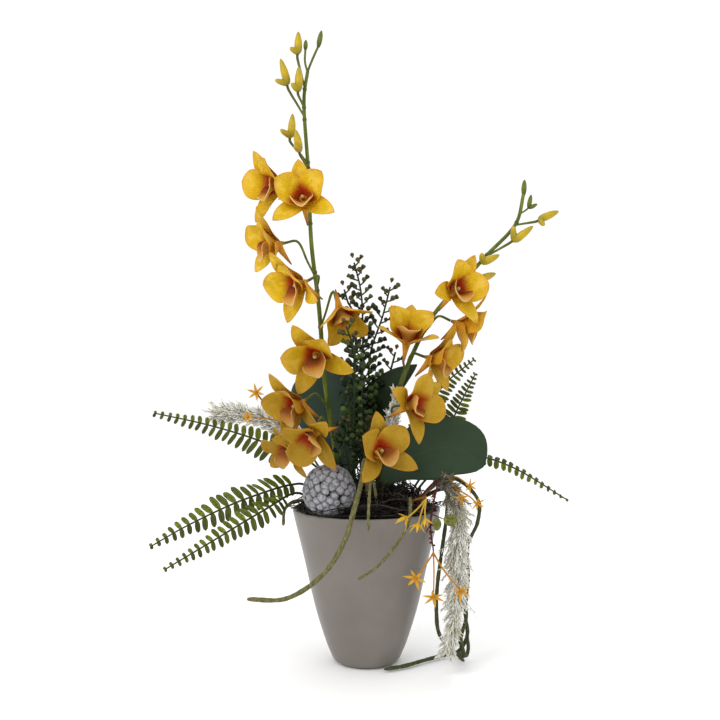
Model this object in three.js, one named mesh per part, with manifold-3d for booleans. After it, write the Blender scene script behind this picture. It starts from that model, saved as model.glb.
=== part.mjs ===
// Potted orchid arrangement: two arching orchid stems with their blooms and buds, three strap
// leaves, fern fronds, berry sprays, fine white sprays, star-flower sprays, aerial roots and a
// berry-textured ball, standing in the filling of a tapered ceramic pot.
// Millimetres, +Z up, the middle of the pot's foot at the origin, the front towards -Y.

import * as THREE from 'three';
import { mergeVertices } from 'three/addons/utils/BufferGeometryUtils.js';
import Module from 'manifold-3d';

const wasm = await Module();
wasm.setup();

// ---------------------------------------------------------------- driving dimensions
const POT_HEIGHT = 165;
const POT_RIM_RADIUS = 80;
const POT_FOOT_RADIUS = 29;
const POT_WALL = 5;
const POT_FLOOR = 8;
const POT_SEGMENTS = 24;
const FILLING_TOP = 150;
const FILLING_GAP = 0.5;
const NEST_TOP = 182;
const NEST_TWIGS = 9;
const FUSE_TOLERANCE = 0.2;
const SEAT_GAP = 0.3;
const HOLE_CLEARANCE = 0.35;
const HOLE_SIDES = 4;
const STEM_RADIUS = 2.6;
const PEDICEL_RADIUS = 1.1;
const SEPAL_LENGTH = 38;
const SEPAL_WIDTH = 21;
const PETAL_LENGTH = 36;
const PETAL_WIDTH = 31;
// Turns round the flower's axis, in degrees from its top sepal.
const SEPAL_TURN = 128;
const PETAL_TURN = 53;
const LIP_LENGTH = 25;
const LIP_WIDTH = 22;
const TEPAL_THICKNESS = 1.5;
const BLOOM_BACK = 12;
const CHIN_RADIUS = 4.2;
const THROAT_RADIUS = 6;
const TEPAL_ROOT = 3.2;
const BUD_RADIUS = 4.6;
const LEAF_THICKNESS = 1.6;
const FROND_THICKNESS = 2;
const LEAFLET_ROWS = 3;
const LEAFLET_NOTCH = 1.3;
const LEAFLET_LEAN = 0.35;
const BERRY_RADIUS = 3.5;
const BALL_RADIUS = 28.5;
const BALL_RELIEF = 2.2;
const ROOT_RADIUS = 2.9;
const STRAND_RADIUS = 2.1;
const NEEDLE_RADIUS = 0.65;
const STAR_RADIUS = 12;

// ---------------------------------------------------------------- materials
const finish = (color, roughness, metalness = 0) => (
  new THREE.MeshStandardMaterial({ color, roughness, metalness })
);
const POT_GLAZE = finish(0x807971, 0.35);
const FILLING = finish(0x2e2620, 0.95);
const DARK_TWIG = finish(0x372d2a, 0.9);
const ORCHID_STEM = finish(0x556923, 0.5);
const BUD_YELLOW = finish(0xc8b41e, 0.3);
const PETAL_GOLD = finish(0xdeb232, 0.6);
const LEAF_BLUE_GREEN = finish(0x3c5546, 0.45);
const LEAF_DARK_GREEN = finish(0x2d4632, 0.45);
const FERN_GREEN = finish(0x5f7d28, 0.6);
const BERRY_GREEN = finish(0x233c28, 0.45);
const SPRAY_WHITE = finish(0xd7d7c8, 0.8);
const BALL_GREY = finish(0x96969e, 0.7);
const ROOT_OLIVE = finish(0x7d784b, 0.7);
const STRAND_GREEN = finish(0x4b5532, 0.6);
const STAR_YELLOW = finish(0xe1b43c, 0.6);
const STAR_ORANGE = finish(0xd28728, 0.6);
const TWIG_RED = finish(0x6e3232, 0.7);
const LEAFLET_OLIVE = finish(0x828c3c, 0.6);

// ---------------------------------------------------------------- small helpers
const vec = (x, y, z) => new THREE.Vector3(x, y, z);
const vecs = (rows) => rows.map(([x, y, z]) => vec(x, y, z));
const radians = THREE.MathUtils.degToRad;
const lerp = THREE.MathUtils.lerp;

/** Repeatable random numbers from 0 to 1. */
function dice(seed) {
  let state = seed;
  return () => {
    state = (state + 0x6d2b79f5) | 0;
    let t = Math.imul(state ^ (state >>> 15), 1 | state);
    t = (t + Math.imul(t ^ (t >>> 7), 61 | t)) ^ t;
    return ((t ^ (t >>> 14)) >>> 0) / 4294967296;
  };
}

/** A closed geometry as a solid: shared corners merged, empty triangles left out. */
function solid(geometry) {
  const bare = new THREE.BufferGeometry();
  bare.setAttribute('position', geometry.attributes.position);
  bare.setIndex(geometry.index);
  const merged = mergeVertices(bare, 1e-4);
  const corners = merged.index.array;
  const faces = [];
  for (let i = 0; i < corners.length; i += 3) {
    const [a, b, c] = corners.slice(i, i + 3);
    if (a !== b && b !== c && c !== a) faces.push(a, b, c);
  }
  const build = (triangles) => new wasm.Manifold(new wasm.Mesh({
    numProp: 3,
    vertProperties: new Float32Array(merged.attributes.position.array),
    triVerts: new Uint32Array(triangles),
  }));
  const body = build(faces);
  return body.volume() > 0 ? body : build(faces.reverse());
}

/** All the solids fused; loose scraps, if any are left, are dropped. */
function fuse(bodies) {
  const whole = wasm.Manifold.union(bodies);
  const lumps = whole.decompose();
  const largest = lumps.reduce((best, lump) => (lump.volume() > best.volume() ? lump : best));
  return largest.simplify(FUSE_TOLERANCE);
}

const group = new THREE.Group();

/** Adds one named piece to the group. */
function addPiece(name, body, material) {
  const { vertProperties, triVerts } = body.getMesh();
  const geometry = new THREE.BufferGeometry();
  geometry.setAttribute('position', new THREE.BufferAttribute(vertProperties, 3));
  geometry.setIndex(new THREE.BufferAttribute(triVerts, 1));
  geometry.computeVertexNormals();
  const mesh = new THREE.Mesh(geometry, material);
  mesh.name = name;
  group.add(mesh);
}

/** A rod along a smooth curve through the points, its end `taper` times as thick. */
function rod(points, radius, { sides = 6, steps = 8, taper = 1 } = {}) {
  const path = new THREE.CatmullRomCurve3(points, false, 'centripetal');
  const corners = Array.from({ length: sides }, (_, i) => {
    const turn = (i / sides) * 2 * Math.PI;
    return new THREE.Vector2(Math.cos(turn), Math.sin(turn)).multiplyScalar(radius);
  });
  const shape = new THREE.Shape(corners);
  const tube = new THREE.ExtrudeGeometry(shape, { steps, extrudePath: path, bevelEnabled: false });
  if (taper !== 1) narrow(tube, path, steps, radius, taper);
  return solid(tube);
}

/** Draws each ring of a tube in towards its curve, evenly down to `taper` at the end. */
function narrow(tube, path, steps, radius, taper) {
  const centres = path.getSpacedPoints(steps);
  const { tangents } = path.computeFrenetFrames(steps, false);
  const place = tube.attributes.position;
  const point = vec(0, 0, 0);
  for (let i = 0; i < place.count; i += 1) {
    point.fromBufferAttribute(place, i);
    const misfit = centres.map((centre, ring) => {
      const arm = point.clone().sub(centre);
      return Math.abs(arm.dot(tangents[ring])) + Math.abs(arm.length() - radius);
    });
    const ring = misfit.indexOf(Math.min(...misfit));
    point.sub(centres[ring]).multiplyScalar(lerp(1, taper, ring / steps)).add(centres[ring]);
    place.setXYZ(i, point.x, point.y, point.z);
  }
}

const holes = [];

/**
 * A rod whose first stretch, from points[0] to points[1], is straight and stands in the filling.
 * The hole for it, a little wider and deeper than the rod, is noted for later.
 */
function planted(points, radius, options = {}) {
  const [foot, neck, ...rest] = points;
  const sides = options.sides ?? 6;
  const down = foot.clone().sub(neck).normalize();
  const up = neck.clone().addScaledVector(down, -2);
  const wide = (radius + HOLE_CLEARANCE) / Math.cos(Math.PI / HOLE_SIDES);
  const deep = foot.clone().addScaledVector(down, SEAT_GAP);
  holes.push(rod([deep, up], wide, { sides: HOLE_SIDES, steps: 1 }));
  const straight = rod([foot, neck], radius, { sides, steps: 1 });
  if (!rest.length) return straight;
  const bent = rod([neck.clone().addScaledVector(down, 4), neck, ...rest], 0.99 * radius, options);
  return fuse([straight, bent]);
}

/**
 * A thin blade over a grid of `rows` by `columns`: surface(s, t) runs along it for s from 0 to 1
 * and across it for t from -1 to 1. It is `thickness` thick inside and thin at its edge, and both
 * faces are cut into triangles alike.
 */
function blade(surface, rows, columns, thickness) {
  const wide = columns + 1;
  const count = (rows + 1) * wide;
  const positions = [];
  const place = (row, column) => surface(row / rows, (2 * column) / columns - 1);
  const step = 0.02;
  for (const side of [0.5, -0.5]) {
    for (let row = 0; row <= rows; row += 1) {
      for (let column = 0; column <= columns; column += 1) {
        const s = THREE.MathUtils.clamp(row / rows, step, 1 - step);
        const t = THREE.MathUtils.clamp((2 * column) / columns - 1, step - 1, 1 - step);
        const along = surface(s + step, t).sub(surface(s - step, t));
        const across = surface(s, t + step).sub(surface(s, t - step));
        const edge = row === 0 || row === rows || column === 0 || column === columns;
        const lift = along.cross(across).setLength(edge ? 0 : side * thickness);
        positions.push(...place(row, column).add(lift).toArray());
      }
    }
  }
  const faces = [];
  for (let row = 0; row < rows; row += 1) {
    for (let column = 0; column < columns; column += 1) {
      const a = row * wide + column;
      const [b, c, d] = [a + 1, a + wide + 1, a + wide];
      faces.push(a, c, b, a, d, c);
      faces.push(a + count, b + count, c + count, a + count, c + count, d + count);
    }
  }
  const geometry = new THREE.BufferGeometry();
  geometry.setAttribute('position', new THREE.Float32BufferAttribute(positions, 3));
  geometry.setIndex(faces);
  return solid(geometry);
}

/** Moves a solid built about +Z at the origin so that +Z points along `direction` from `at`. */
function aim(body, at, direction) {
  const turn = new THREE.Quaternion().setFromUnitVectors(vec(0, 0, 1), direction.clone().normalize());
  const matrix = new THREE.Matrix4().compose(at, turn, vec(1, 1, 1));
  return body.transform(matrix.elements);
}

/** A closed turned solid about Z from [radius, height] pairs. */
function turned(profile, segments) {
  const points = profile.map(([radius, height]) => new THREE.Vector2(radius, height));
  const lathe = new THREE.LatheGeometry(points, segments);
  lathe.rotateX(Math.PI / 2);
  return solid(lathe);
}

// ---------------------------------------------------------------- pot, filling and nest
// Outer wall, foot to rim: a rounded foot edge, then a taper that opens slightly faster low down.
const OUTER_WALL = [
  [POT_FOOT_RADIUS, 0],
  [37, 4.5],
  [42.4, 17],
  [56, 60],
  [68.5, 115],
  [77, 150],
  [POT_RIM_RADIUS, POT_HEIGHT - 2],
  [POT_RIM_RADIUS - 1, POT_HEIGHT],
];

/** The inside of the wall at a height, `gap` in from it. */
function innerRadius(height, gap) {
  const above = OUTER_WALL.findIndex(([, z]) => z >= height);
  const [lowRadius, low] = OUTER_WALL[above - 1];
  const [highRadius, high] = OUTER_WALL[above];
  return lerp(lowRadius, highRadius, (height - low) / (high - low)) - POT_WALL - gap;
}

function pot() {
  const inside = [POT_HEIGHT - 2, 115, 60, 17].map((z) => [innerRadius(z, 0), z]);
  const profile = [[0, 0], ...OUTER_WALL, [POT_RIM_RADIUS - 4, POT_HEIGHT], ...inside];
  return turned([...profile, [POT_FOOT_RADIUS, POT_FLOOR], [0, POT_FLOOR]], POT_SEGMENTS);
}

function filling() {
  const floor = POT_FLOOR + FILLING_GAP;
  const side = [17, 60, 115, FILLING_TOP].map((z) => [innerRadius(z, FILLING_GAP), z]);
  const block = turned([
    [0, floor],
    [POT_FOOT_RADIUS - 1, floor],
    ...side,
    [0, FILLING_TOP],
  ], POT_SEGMENTS);
  return block.subtract(wasm.Manifold.union(holes));
}

/** Height of the nest's mound at a distance from the middle. */
function moundHeight(distance) {
  const slope = Math.cos(Math.min(distance / 72, 1) * 0.5 * Math.PI);
  return lerp(FILLING_TOP + 4, NEST_TOP, slope ** 0.8);
}

/** One loose twig that wanders over the mound, half sunk in it. */
function nestTwig(random) {
  const turn = random() * 2 * Math.PI;
  const sweep = (random() - 0.5) * 2.2;
  const start = lerp(20, 66, Math.sqrt(random()));
  const end = lerp(48, 76, random());
  const points = [0, 0.33, 0.67, 1].map((s) => {
    const angle = turn + sweep * s;
    const distance = lerp(start, end, s);
    const rise = lerp(1.2, 5, s * s) * (0.4 + random());
    return vec(
      distance * Math.cos(angle),
      distance * Math.sin(angle),
      Math.max(moundHeight(distance) + rise, distance > 66 ? POT_HEIGHT + 4 : 0),
    );
  });
  return rod(points, lerp(0.8, 1.3, random()), { sides: 3, steps: 3 });
}

function nest(ballSeat) {
  const random = dice(11);
  const under = FILLING_TOP + SEAT_GAP;
  const mound = turned([
    [0, under],
    [69, under],
    [69, moundHeight(66)],
    [46, moundHeight(46)],
    [22, moundHeight(22)],
    [0, NEST_TOP],
  ], 14);
  const twigs = Array.from({ length: NEST_TWIGS }, () => nestTwig(random));
  const whole = wasm.Manifold.union([mound, ...twigs]);
  return fuse([whole.subtract(wasm.Manifold.union([...holes, ballSeat]))]);
}

// ---------------------------------------------------------------- blooms and buds
/** The frame of a flower: forward, up (the top sepal's side) and right. */
function flowerFrame(face, up) {
  const forward = face.clone().normalize();
  const right = forward.clone().cross(up).normalize();
  return { forward, right, up: right.clone().cross(forward) };
}

/**
 * One sepal, petal or lip. Its rib leaves the flower's back at the height `seat`, `lean` degrees
 * from the flower's axis, and ends at `open` degrees. Its edges rise by `cup` times their distance
 * from the rib.
 */
function tepal(flower, { turn, length, width, seat, lean, open, cup, rows, columns, sharp }) {
  const { at, frame, size } = flower;
  const outward = frame.up.clone().multiplyScalar(Math.cos(radians(turn)))
    .addScaledVector(frame.right, Math.sin(radians(turn)));
  const across = frame.forward.clone().cross(outward);
  const polar = (angle, reach) => (
    new THREE.Vector2(Math.sin(angle), Math.cos(angle)).multiplyScalar(reach)
  );
  const root = new THREE.Vector2(TEPAL_ROOT, seat);
  const knee = root.clone().add(polar(radians(lean), 0.45 * length * size));
  const tip = knee.clone().add(polar(radians(open), 0.62 * length * size));
  const rib = new THREE.QuadraticBezierCurve(root, knee, tip);
  const halfWidth = (s) => 0.5 * width * size * (0.12 + 0.88 * Math.sin(Math.PI * s ** sharp) ** 0.8);
  return blade((s, t) => {
    const spot = rib.getPoint(s);
    const run = rib.getTangent(s);
    const half = halfWidth(s);
    const rise = cup * half * t * t;
    return at.clone()
      .addScaledVector(outward, spot.x - rise * run.y)
      .addScaledVector(frame.forward, spot.y + rise * run.x)
      .addScaledVector(across, half * t);
  }, rows, columns, TEPAL_THICKNESS);
}

/** The back of the flower: a cone down to the flat end that meets its stalk. */
function flowerBack(flower) {
  const back = flower.at.clone().addScaledVector(flower.frame.forward, -BLOOM_BACK);
  const cone = turned([[0, 0], [1.9, 0], [THROAT_RADIUS, BLOOM_BACK], [0, BLOOM_BACK]], 5);
  return aim(cone, back, flower.frame.forward);
}

/** The chin: a pointed spur below the flower's back. */
function chin(flower) {
  const { at, frame, size } = flower;
  const start = at.clone().addScaledVector(frame.forward, -4);
  const tip = at.clone()
    .addScaledVector(frame.up, -23 * size)
    .addScaledVector(frame.forward, -15 * size);
  return rod([start, tip], CHIN_RADIUS, { sides: 3, steps: 1, taper: 0.15 });
}

/** The column: a short rod in the middle of the throat, with its cap. */
function column(flower) {
  const { at, frame } = flower;
  const start = at.clone().addScaledVector(frame.forward, -2);
  const end = at.clone().addScaledVector(frame.forward, 11).addScaledVector(frame.up, 1);
  return rod([start, end], 1.8, { sides: 3, steps: 1 });
}

/** One orchid bloom: three sepals, two broad petals, a curled lip, the column and the chin. */
function bloom({ at, face, up, size = 1, open = 78 }) {
  const flower = { at: vec(...at), frame: flowerFrame(vec(...face), vec(...up)), size };
  const sepal = {
    length: SEPAL_LENGTH, width: SEPAL_WIDTH, seat: -6, lean: 44,
    cup: 0.2, rows: 3, columns: 2, sharp: 0.85,
  };
  const petal = {
    length: PETAL_LENGTH, width: PETAL_WIDTH, seat: -3, lean: 30,
    cup: 0.3, rows: 3, columns: 2, sharp: 0.95,
  };
  const lip = {
    length: LIP_LENGTH, width: LIP_WIDTH, seat: -2, lean: 8,
    cup: 0.8, rows: 3, columns: 2, sharp: 1.25,
  };
  const sepals = [0, SEPAL_TURN, -SEPAL_TURN].map((turn) => tepal(flower, { ...sepal, turn, open }));
  const petals = [PETAL_TURN, -PETAL_TURN].map((turn) => (
    tepal(flower, { ...petal, turn, open: open - 12 })
  ));
  const tongue = tepal(flower, { ...lip, turn: 180, open: 52 });
  return fuse([...sepals, ...petals, tongue, column(flower), flowerBack(flower), chin(flower)]);
}

/** Where a bloom's stalk ends, just short of its back, and which way it arrives. */
function bloomSocket({ at, face }) {
  const forward = vec(...face).normalize();
  return { end: vec(...at).addScaledVector(forward, -BLOOM_BACK - SEAT_GAP), forward };
}

/** A closed bud: a pointed spindle with a hooked chin at its base. */
function bud({ base, tip, hook }) {
  const [root, point] = [vec(...base), vec(...tip)];
  const axis = point.clone().sub(root);
  const length = axis.length();
  const spindle = turned([
    [0, 0],
    [1.3, 0],
    [4.2, 0.18 * length],
    [BUD_RADIUS, 0.42 * length],
    [3.4, 0.72 * length],
    [0, length],
  ], 5);
  const start = root.clone().addScaledVector(axis, 0.3);
  const low = root.clone().lerp(vec(...hook), 0.55).addScaledVector(axis, 0.02);
  const chinHook = rod([start, low, vec(...hook)], 3.2, { sides: 4, steps: 1, taper: 0.4 });
  return fuse([aim(spindle, root, axis), chinHook]);
}

/** Where a bud's stalk ends, just short of its base. */
function budSocket({ base, tip }) {
  const forward = vec(...tip).sub(vec(...base)).normalize();
  return { end: vec(...base).addScaledVector(forward, -SEAT_GAP), forward };
}

/** The stalk from a point on the main stem to a flower or bud. */
function stalk(joint, { end, forward }, slack = 0.5, taper = 1.4) {
  const start = vec(...joint);
  const reach = start.distanceTo(end) * slack;
  const middle = end.clone().addScaledVector(forward, -Math.min(reach, 14));
  const rise = start.clone().lerp(middle, 0.4);
  return rod([start, rise, middle, end], PEDICEL_RADIUS, { sides: 3, steps: 3, taper });
}

/** An orchid stem with all the stalks that grew from it. */
function orchidStem(points, stalks, extras) {
  const main = planted(vecs(points), STEM_RADIUS, { sides: 5, steps: 12, taper: 0.62 });
  return fuse([main, ...stalks, ...extras]);
}

const LEFT_STEM = [
  [-24, 4, 116],
  [-29.4, 4, 186],
  [-34, 4, 226],
  [-45, 3, 299],
  [-52, 2, 385],
  [-60, 2, 452],
  [-63, 2, 526],
  [-68, 2, 611],
  [-64, 2, 640],
];
const RIGHT_STEM = [
  [12, 6, 116],
  [14.4, 6, 186],
  [19, 6, 225],
  [29, 3, 271],
  [47, 0, 324],
  [73, 0, 374],
  [101, 0, 406],
  [131, 0, 439],
  [163, 0, 474],
  [171, 0, 506],
];

// Each bloom: the middle of its throat, where it faces, where its top sepal points, and the
// point on the stem that its stalk grows from.
const LEFT_BLOOMS = [
  { at: [-98, -10, 512], face: [-0.77, -0.63, -0.12], up: [-0.3, 0.2, 0.93],
    joint: [-64, 2, 533], size: 1.05 },
  { at: [-66, -42, 492], face: [-0.1, -0.95, 0.25], up: [-0.1, 0.3, 0.95],
    joint: [-62, 2, 476] },
  { at: [-99, -8, 450], face: [-0.9, -0.42, -0.17], up: [-0.15, -0.1, 0.98],
    joint: [-57, 2, 418], size: 1.05 },
  { at: [-70, -38, 404], face: [-0.7, -0.58, -0.4], up: [-0.5, 0, 0.87],
    joint: [-54, 2, 398], size: 1.08 },
  { at: [-28, -24, 376], face: [0.3, -0.4, -0.85], up: [0, 0.9, -0.4],
    joint: [-50, 2, 360] },
  { at: [-52, -44, 330], face: [-0.2, -0.87, -0.43], up: [-0.47, -0.3, 0.83],
    joint: [-48, 2, 334], size: 1.08 },
  { at: [-72, -31, 278], face: [-0.65, -0.6, -0.4], up: [-0.5, -0.1, 0.87],
    joint: [-39, 3, 272], size: 1.08 },
  { at: [-55, -67, 249], face: [-0.3, -0.7, -0.63], up: [-0.93, 0.36, 0.1],
    joint: [-36, 3, 244] },
  { at: [-81, -31, 230], face: [-0.65, -0.6, -0.45], up: [-0.3, -0.5, 0.8],
    joint: [-33, 4, 216], size: 0.85 },
];
const RIGHT_BLOOMS = [
  { at: [92, -38, 398], face: [0.57, -0.8, 0.1], up: [0.34, 0.33, 0.88],
    joint: [88, 0, 392] },
  { at: [102, -12, 363], face: [0.93, -0.1, -0.35], up: [0.35, -0.1, 0.9],
    joint: [62, 0, 354] },
  { at: [43, -22, 347], face: [0.13, -0.5, 0.85], up: [0.1, 0.85, 0.5],
    joint: [42, 0, 312], size: 1.05 },
  { at: [71, -29, 326], face: [0.84, -0.5, -0.22], up: [0.3, 0.1, 0.95],
    joint: [37, 2, 298] },
  { at: [46, -55, 279], face: [0.67, -0.73, 0.1], up: [0.6, 0.62, 0.5],
    joint: [26, 4, 262] },
  { at: [13, -64, 231], face: [0.45, -0.87, 0.2], up: [-0.23, 0.12, 0.97],
    joint: [19, 6, 222] },
];

// Each bud: its base, its tip, the tip of its chin, and the joint of its stalk.
const LEFT_BUDS = [
  { base: [-86, -2, 623], tip: [-93, -6, 651], hook: [-99, -6, 628], joint: [-67.5, 2, 590] },
  { base: [-74, -8, 614], tip: [-73, -10, 641], hook: [-81, -12, 623], joint: [-68, 2, 600] },
  { base: [-83, -2, 566], tip: [-80, -4, 592], hook: [-93, -8, 574], joint: [-64.5, 2, 540] },
  { base: [-72, -12, 548], tip: [-76, -14, 572], hook: [-77, -20, 554], joint: [-64, 2, 534] },
  { base: [-75, -1, 657], tip: [-74, -1, 682], hook: [-83, -4, 664], joint: [-67.5, 2, 622] },
];
const RIGHT_BUDS = [
  { base: [186, -4, 476], tip: [208, -6, 486], hook: [192, -9, 470], joint: [163, 0, 472] },
  { base: [157, -10, 453], tip: [179, -13, 469], hook: [158, -13, 469], joint: [131, 0, 438] },
  { base: [123, -9, 430], tip: [143, -12, 438], hook: [124, -14, 440], joint: [111, 0, 417] },
  { base: [122, 7, 412], tip: [142, 8, 420], hook: [128, 10, 407], joint: [107, 0, 412] },
];

/** A small green bud at the end of a twig, grown as one with it. */
function greenBud(base, tip, radius) {
  const [root, point] = [vec(...base), vec(...tip)];
  const axis = point.clone().sub(root);
  const length = axis.length();
  return aim(turned([[0, 0], [0.6 * radius, 0], [radius, 0.4 * length], [0, length]], 5), root, axis);
}

function addOrchid(side, stemPoints, blooms, buds, extras) {
  const stalks = [
    ...blooms.map((flower) => stalk(flower.joint, bloomSocket(flower))),
    ...buds.map((closed) => stalk(closed.joint, budSocket(closed), 0.35, 1.3)),
  ];
  addPiece(`orchid_stem_${side}`, orchidStem(stemPoints, stalks, extras), ORCHID_STEM);
  blooms.forEach((flower, i) => addPiece(`bloom_${side}_${i + 1}`, bloom(flower), PETAL_GOLD));
  buds.forEach((closed, i) => addPiece(`bud_${side}_${i + 1}`, bud(closed), BUD_YELLOW));
}

const LEFT_TIPS = [
  rod(vecs([[-64, 2, 638], [-67, 2, 650], [-66.5, 2, 664]]), 1.3, { sides: 4, steps: 3 }),
  greenBud([-66.5, 2, 663], [-66, 2, 674], 2.4),
  rod(vecs([[-65, 2, 637], [-60, 2, 650], [-52, 2, 668]]), 1.4, { sides: 4, steps: 3 }),
  greenBud([-52.5, 2, 666], [-49, 2, 684], 3),
];
const RIGHT_TIPS = [
  greenBud([171, 0, 504], [172, 0, 521], 3),
  rod(vecs([[167, 0, 484], [172, -2, 487], [176, -4, 490]]), 1, { sides: 4, steps: 2 }),
  greenBud([175.5, -4, 489.5], [178.5, -4, 504], 2.6),
  greenBud([176, -4, 489.5], [185, -4, 494], 2.4),
];

// ---------------------------------------------------------------- strap leaves
/** A strap leaf on its stalk: `halfWidths` at even steps, edges raised by `fold`. */
function strapLeaf({ points, halfWidths, normal, fold, stalkEnd, rows }) {
  const curve = new THREE.CatmullRomCurve3(vecs(points), false, 'centripetal');
  const profile = new THREE.SplineCurve(halfWidths.map((half, i) => (
    new THREE.Vector2(i / (halfWidths.length - 1), half)
  )));
  const facing = vec(...normal).normalize();
  const surface = (s, t) => {
    const u = lerp(stalkEnd, 1, s);
    const tangent = curve.getTangentAt(u);
    const across = tangent.clone().cross(facing).normalize();
    const lift = across.clone().cross(tangent);
    const half = profile.getPoint(s).y;
    return curve.getPointAt(u)
      .addScaledVector(across, half * t)
      .addScaledVector(lift, fold * half * t * t);
  };
  const [foot, neck] = vecs(points);
  const root = curve.getPointAt(stalkEnd + 0.04);
  const petiole = planted([foot, neck, root], 2.4, { sides: 6, steps: 2, taper: 0.5 });
  return fuse([blade(surface, rows, 4, LEAF_THICKNESS), petiole]);
}

const BACK_LEAF = {
  points: [[-14, 40, 116], [-18, 42, 176], [-32, 44, 240], [-46, 43, 290], [-52, 38, 324]],
  halfWidths: [3, 16, 28, 37, 41, 37, 12],
  normal: [0, -1, 0.1],
  fold: 0.12,
  stalkEnd: 0.33,
  rows: 7,
};
const FOLDED_LEAF = {
  points: [[6, 28, 116], [5, 32, 182], [2, 34, 235], [9, 32, 276], [32, 26, 300], [56, 20, 320]],
  halfWidths: [3, 9, 12, 12.5, 11, 3],
  normal: [0.3, -1, 0.3],
  fold: 0.7,
  stalkEnd: 0.32,
  rows: 6,
};
const FRONT_LEAF = {
  points: [
    [12, -22, 116], [14, -26, 184], [32, -31, 212], [62, -34, 231],
    [96, -35, 236], [124, -32, 219],
  ],
  halfWidths: [3, 14, 25, 30, 28, 21, 5],
  normal: [0.05, -1, 0.15],
  fold: 0.15,
  stalkEnd: 0.37,
  rows: 7,
};

// ---------------------------------------------------------------- fern fronds
/**
 * A fern frond: one thin arched blade whose outline is cut to the rib between its leaflets. Each
 * pair of leaflets takes three rows of the blade: the notch below it and its two far corners.
 */
function fern({ points, pairs, upper, lower, normal, from }) {
  const curve = new THREE.CatmullRomCurve3(vecs(points), false, 'centripetal');
  const facing = vec(...normal).normalize();
  const rows = LEAFLET_ROWS * pairs;
  const spacing = (curve.getLength() * (1 - from)) / rows;
  const surface = (s, t) => {
    const row = Math.round(s * rows);
    const phase = row % LEAFLET_ROWS;
    const far = phase === 1 || phase === 2;
    const share = row / rows;
    const grow = Math.min(1, 0.5 + 1.8 * share, 0.15 + 2.2 * (1 - share));
    const reach = far ? (t > 0 ? upper : lower) * grow : LEAFLET_NOTCH;
    const slide = far ? LEAFLET_LEAN * reach + (phase === 1 ? -0.75 : -0.1) * spacing : 0;
    const u = lerp(from, 1, s);
    const tangent = curve.getTangentAt(u);
    const side = facing.clone().cross(tangent).normalize();
    return curve.getPointAt(u)
      .addScaledVector(side, -t * reach)
      .addScaledVector(tangent, Math.abs(t) * slide);
  };
  const [foot, neck] = vecs(points);
  const bend = curve.getPointAt(0.8 * from);
  const join = curve.getPointAt(from + 0.03);
  const petiole = planted([foot, neck, bend, join], 1.4, { sides: 4, steps: 4 });
  return fuse([petiole, blade(surface, rows, 2, FROND_THICKNESS)]);
}

const FERNS = {
  fern_left_upper: {
    points: [
      [-32, 22, 116], [-36, 24, 180], [-64, 31, 211], [-123, 36, 235],
      [-180, 38, 252], [-241, 32, 266],
    ],
    pairs: 15, upper: 15, lower: 22, normal: [0, -1, 0.25], from: 0.42,
  },
  fern_left_middle: {
    points: [
      [-44, 8, 116], [-50, 6, 172], [-66, -6, 190], [-119, -52, 184],
      [-181, -72, 158], [-220, -76, 136],
    ],
    pairs: 13, upper: 17, lower: 15, normal: [-0.1, -1, 0.5], from: 0.4,
  },
  fern_left_lower: {
    points: [
      [-46, -8, 116], [-54, -10, 170], [-72, -26, 184], [-105, -74, 173],
      [-155, -94, 145], [-200, -102, 119],
    ],
    pairs: 13, upper: 13, lower: 15, normal: [-0.1, -1, 0.4], from: 0.45,
  },
  fern_right_low: {
    points: [
      [44, 10, 116], [50, 11, 172], [81, 14, 206], [114, 16, 219],
      [156, 14, 209], [223, 6, 170],
    ],
    pairs: 11, upper: 11, lower: 8, normal: [0, -0.9, 0.9], from: 0.45,
  },
  fern_right_back: {
    points: [[34, 34, 116], [40, 38, 178], [61, 50, 244], [86, 58, 292], [127, 64, 327]],
    pairs: 9, upper: 15, lower: 15, normal: [0, -1, 0.2], from: 0.5,
  },
  fern_right_front: {
    points: [[46, 26, 116], [52, 28, 178], [84, 36, 222], [100, 40, 262], [125, 44, 311]],
    pairs: 9, upper: 14, lower: 15, normal: [0.1, -1, 0.2], from: 0.5,
  },
};

// ---------------------------------------------------------------- berry sprays
/** One pointed berry about +Z on its own stalk of the given length. */
function berry(stalkLength, radius) {
  return turned([
    [0, 0],
    [0.6, 0],
    [0.8, stalkLength],
    [radius, stalkLength + 0.9 * radius],
    [0, stalkLength + 2.5 * radius],
  ], 4);
}

/** A twig with berries standing off it all round, by a golden-angle rule. */
function berryTwig(points, count, reach, from) {
  const curve = new THREE.CatmullRomCurve3(vecs(points), false, 'centripetal');
  const bodies = [rod(vecs(points), 1.5, { sides: 4, steps: 6, taper: 0.8 })];
  for (let i = 0; i < count; i += 1) {
    const share = (i + 0.5) / count;
    const u = lerp(from, 0.97, share);
    const tangent = curve.getTangentAt(u);
    const side = tangent.clone().cross(vec(0, 1, 0)).normalize();
    const depth = side.clone().cross(tangent);
    const turn = i * 2.39996;
    const out = side.multiplyScalar(Math.cos(turn)).addScaledVector(depth, 0.8 * Math.sin(turn));
    const far = reach * lerp(1, 0.5, share);
    out.addScaledVector(tangent, 0.75);
    bodies.push(aim(berry(far, lerp(1.08, 0.8, share) * BERRY_RADIUS), curve.getPointAt(u), out));
  }
  const up = curve.getTangentAt(1);
  bodies.push(aim(berry(1, 0.8 * BERRY_RADIUS), curve.getPointAt(1).addScaledVector(up, -1), up));
  return bodies;
}

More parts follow.
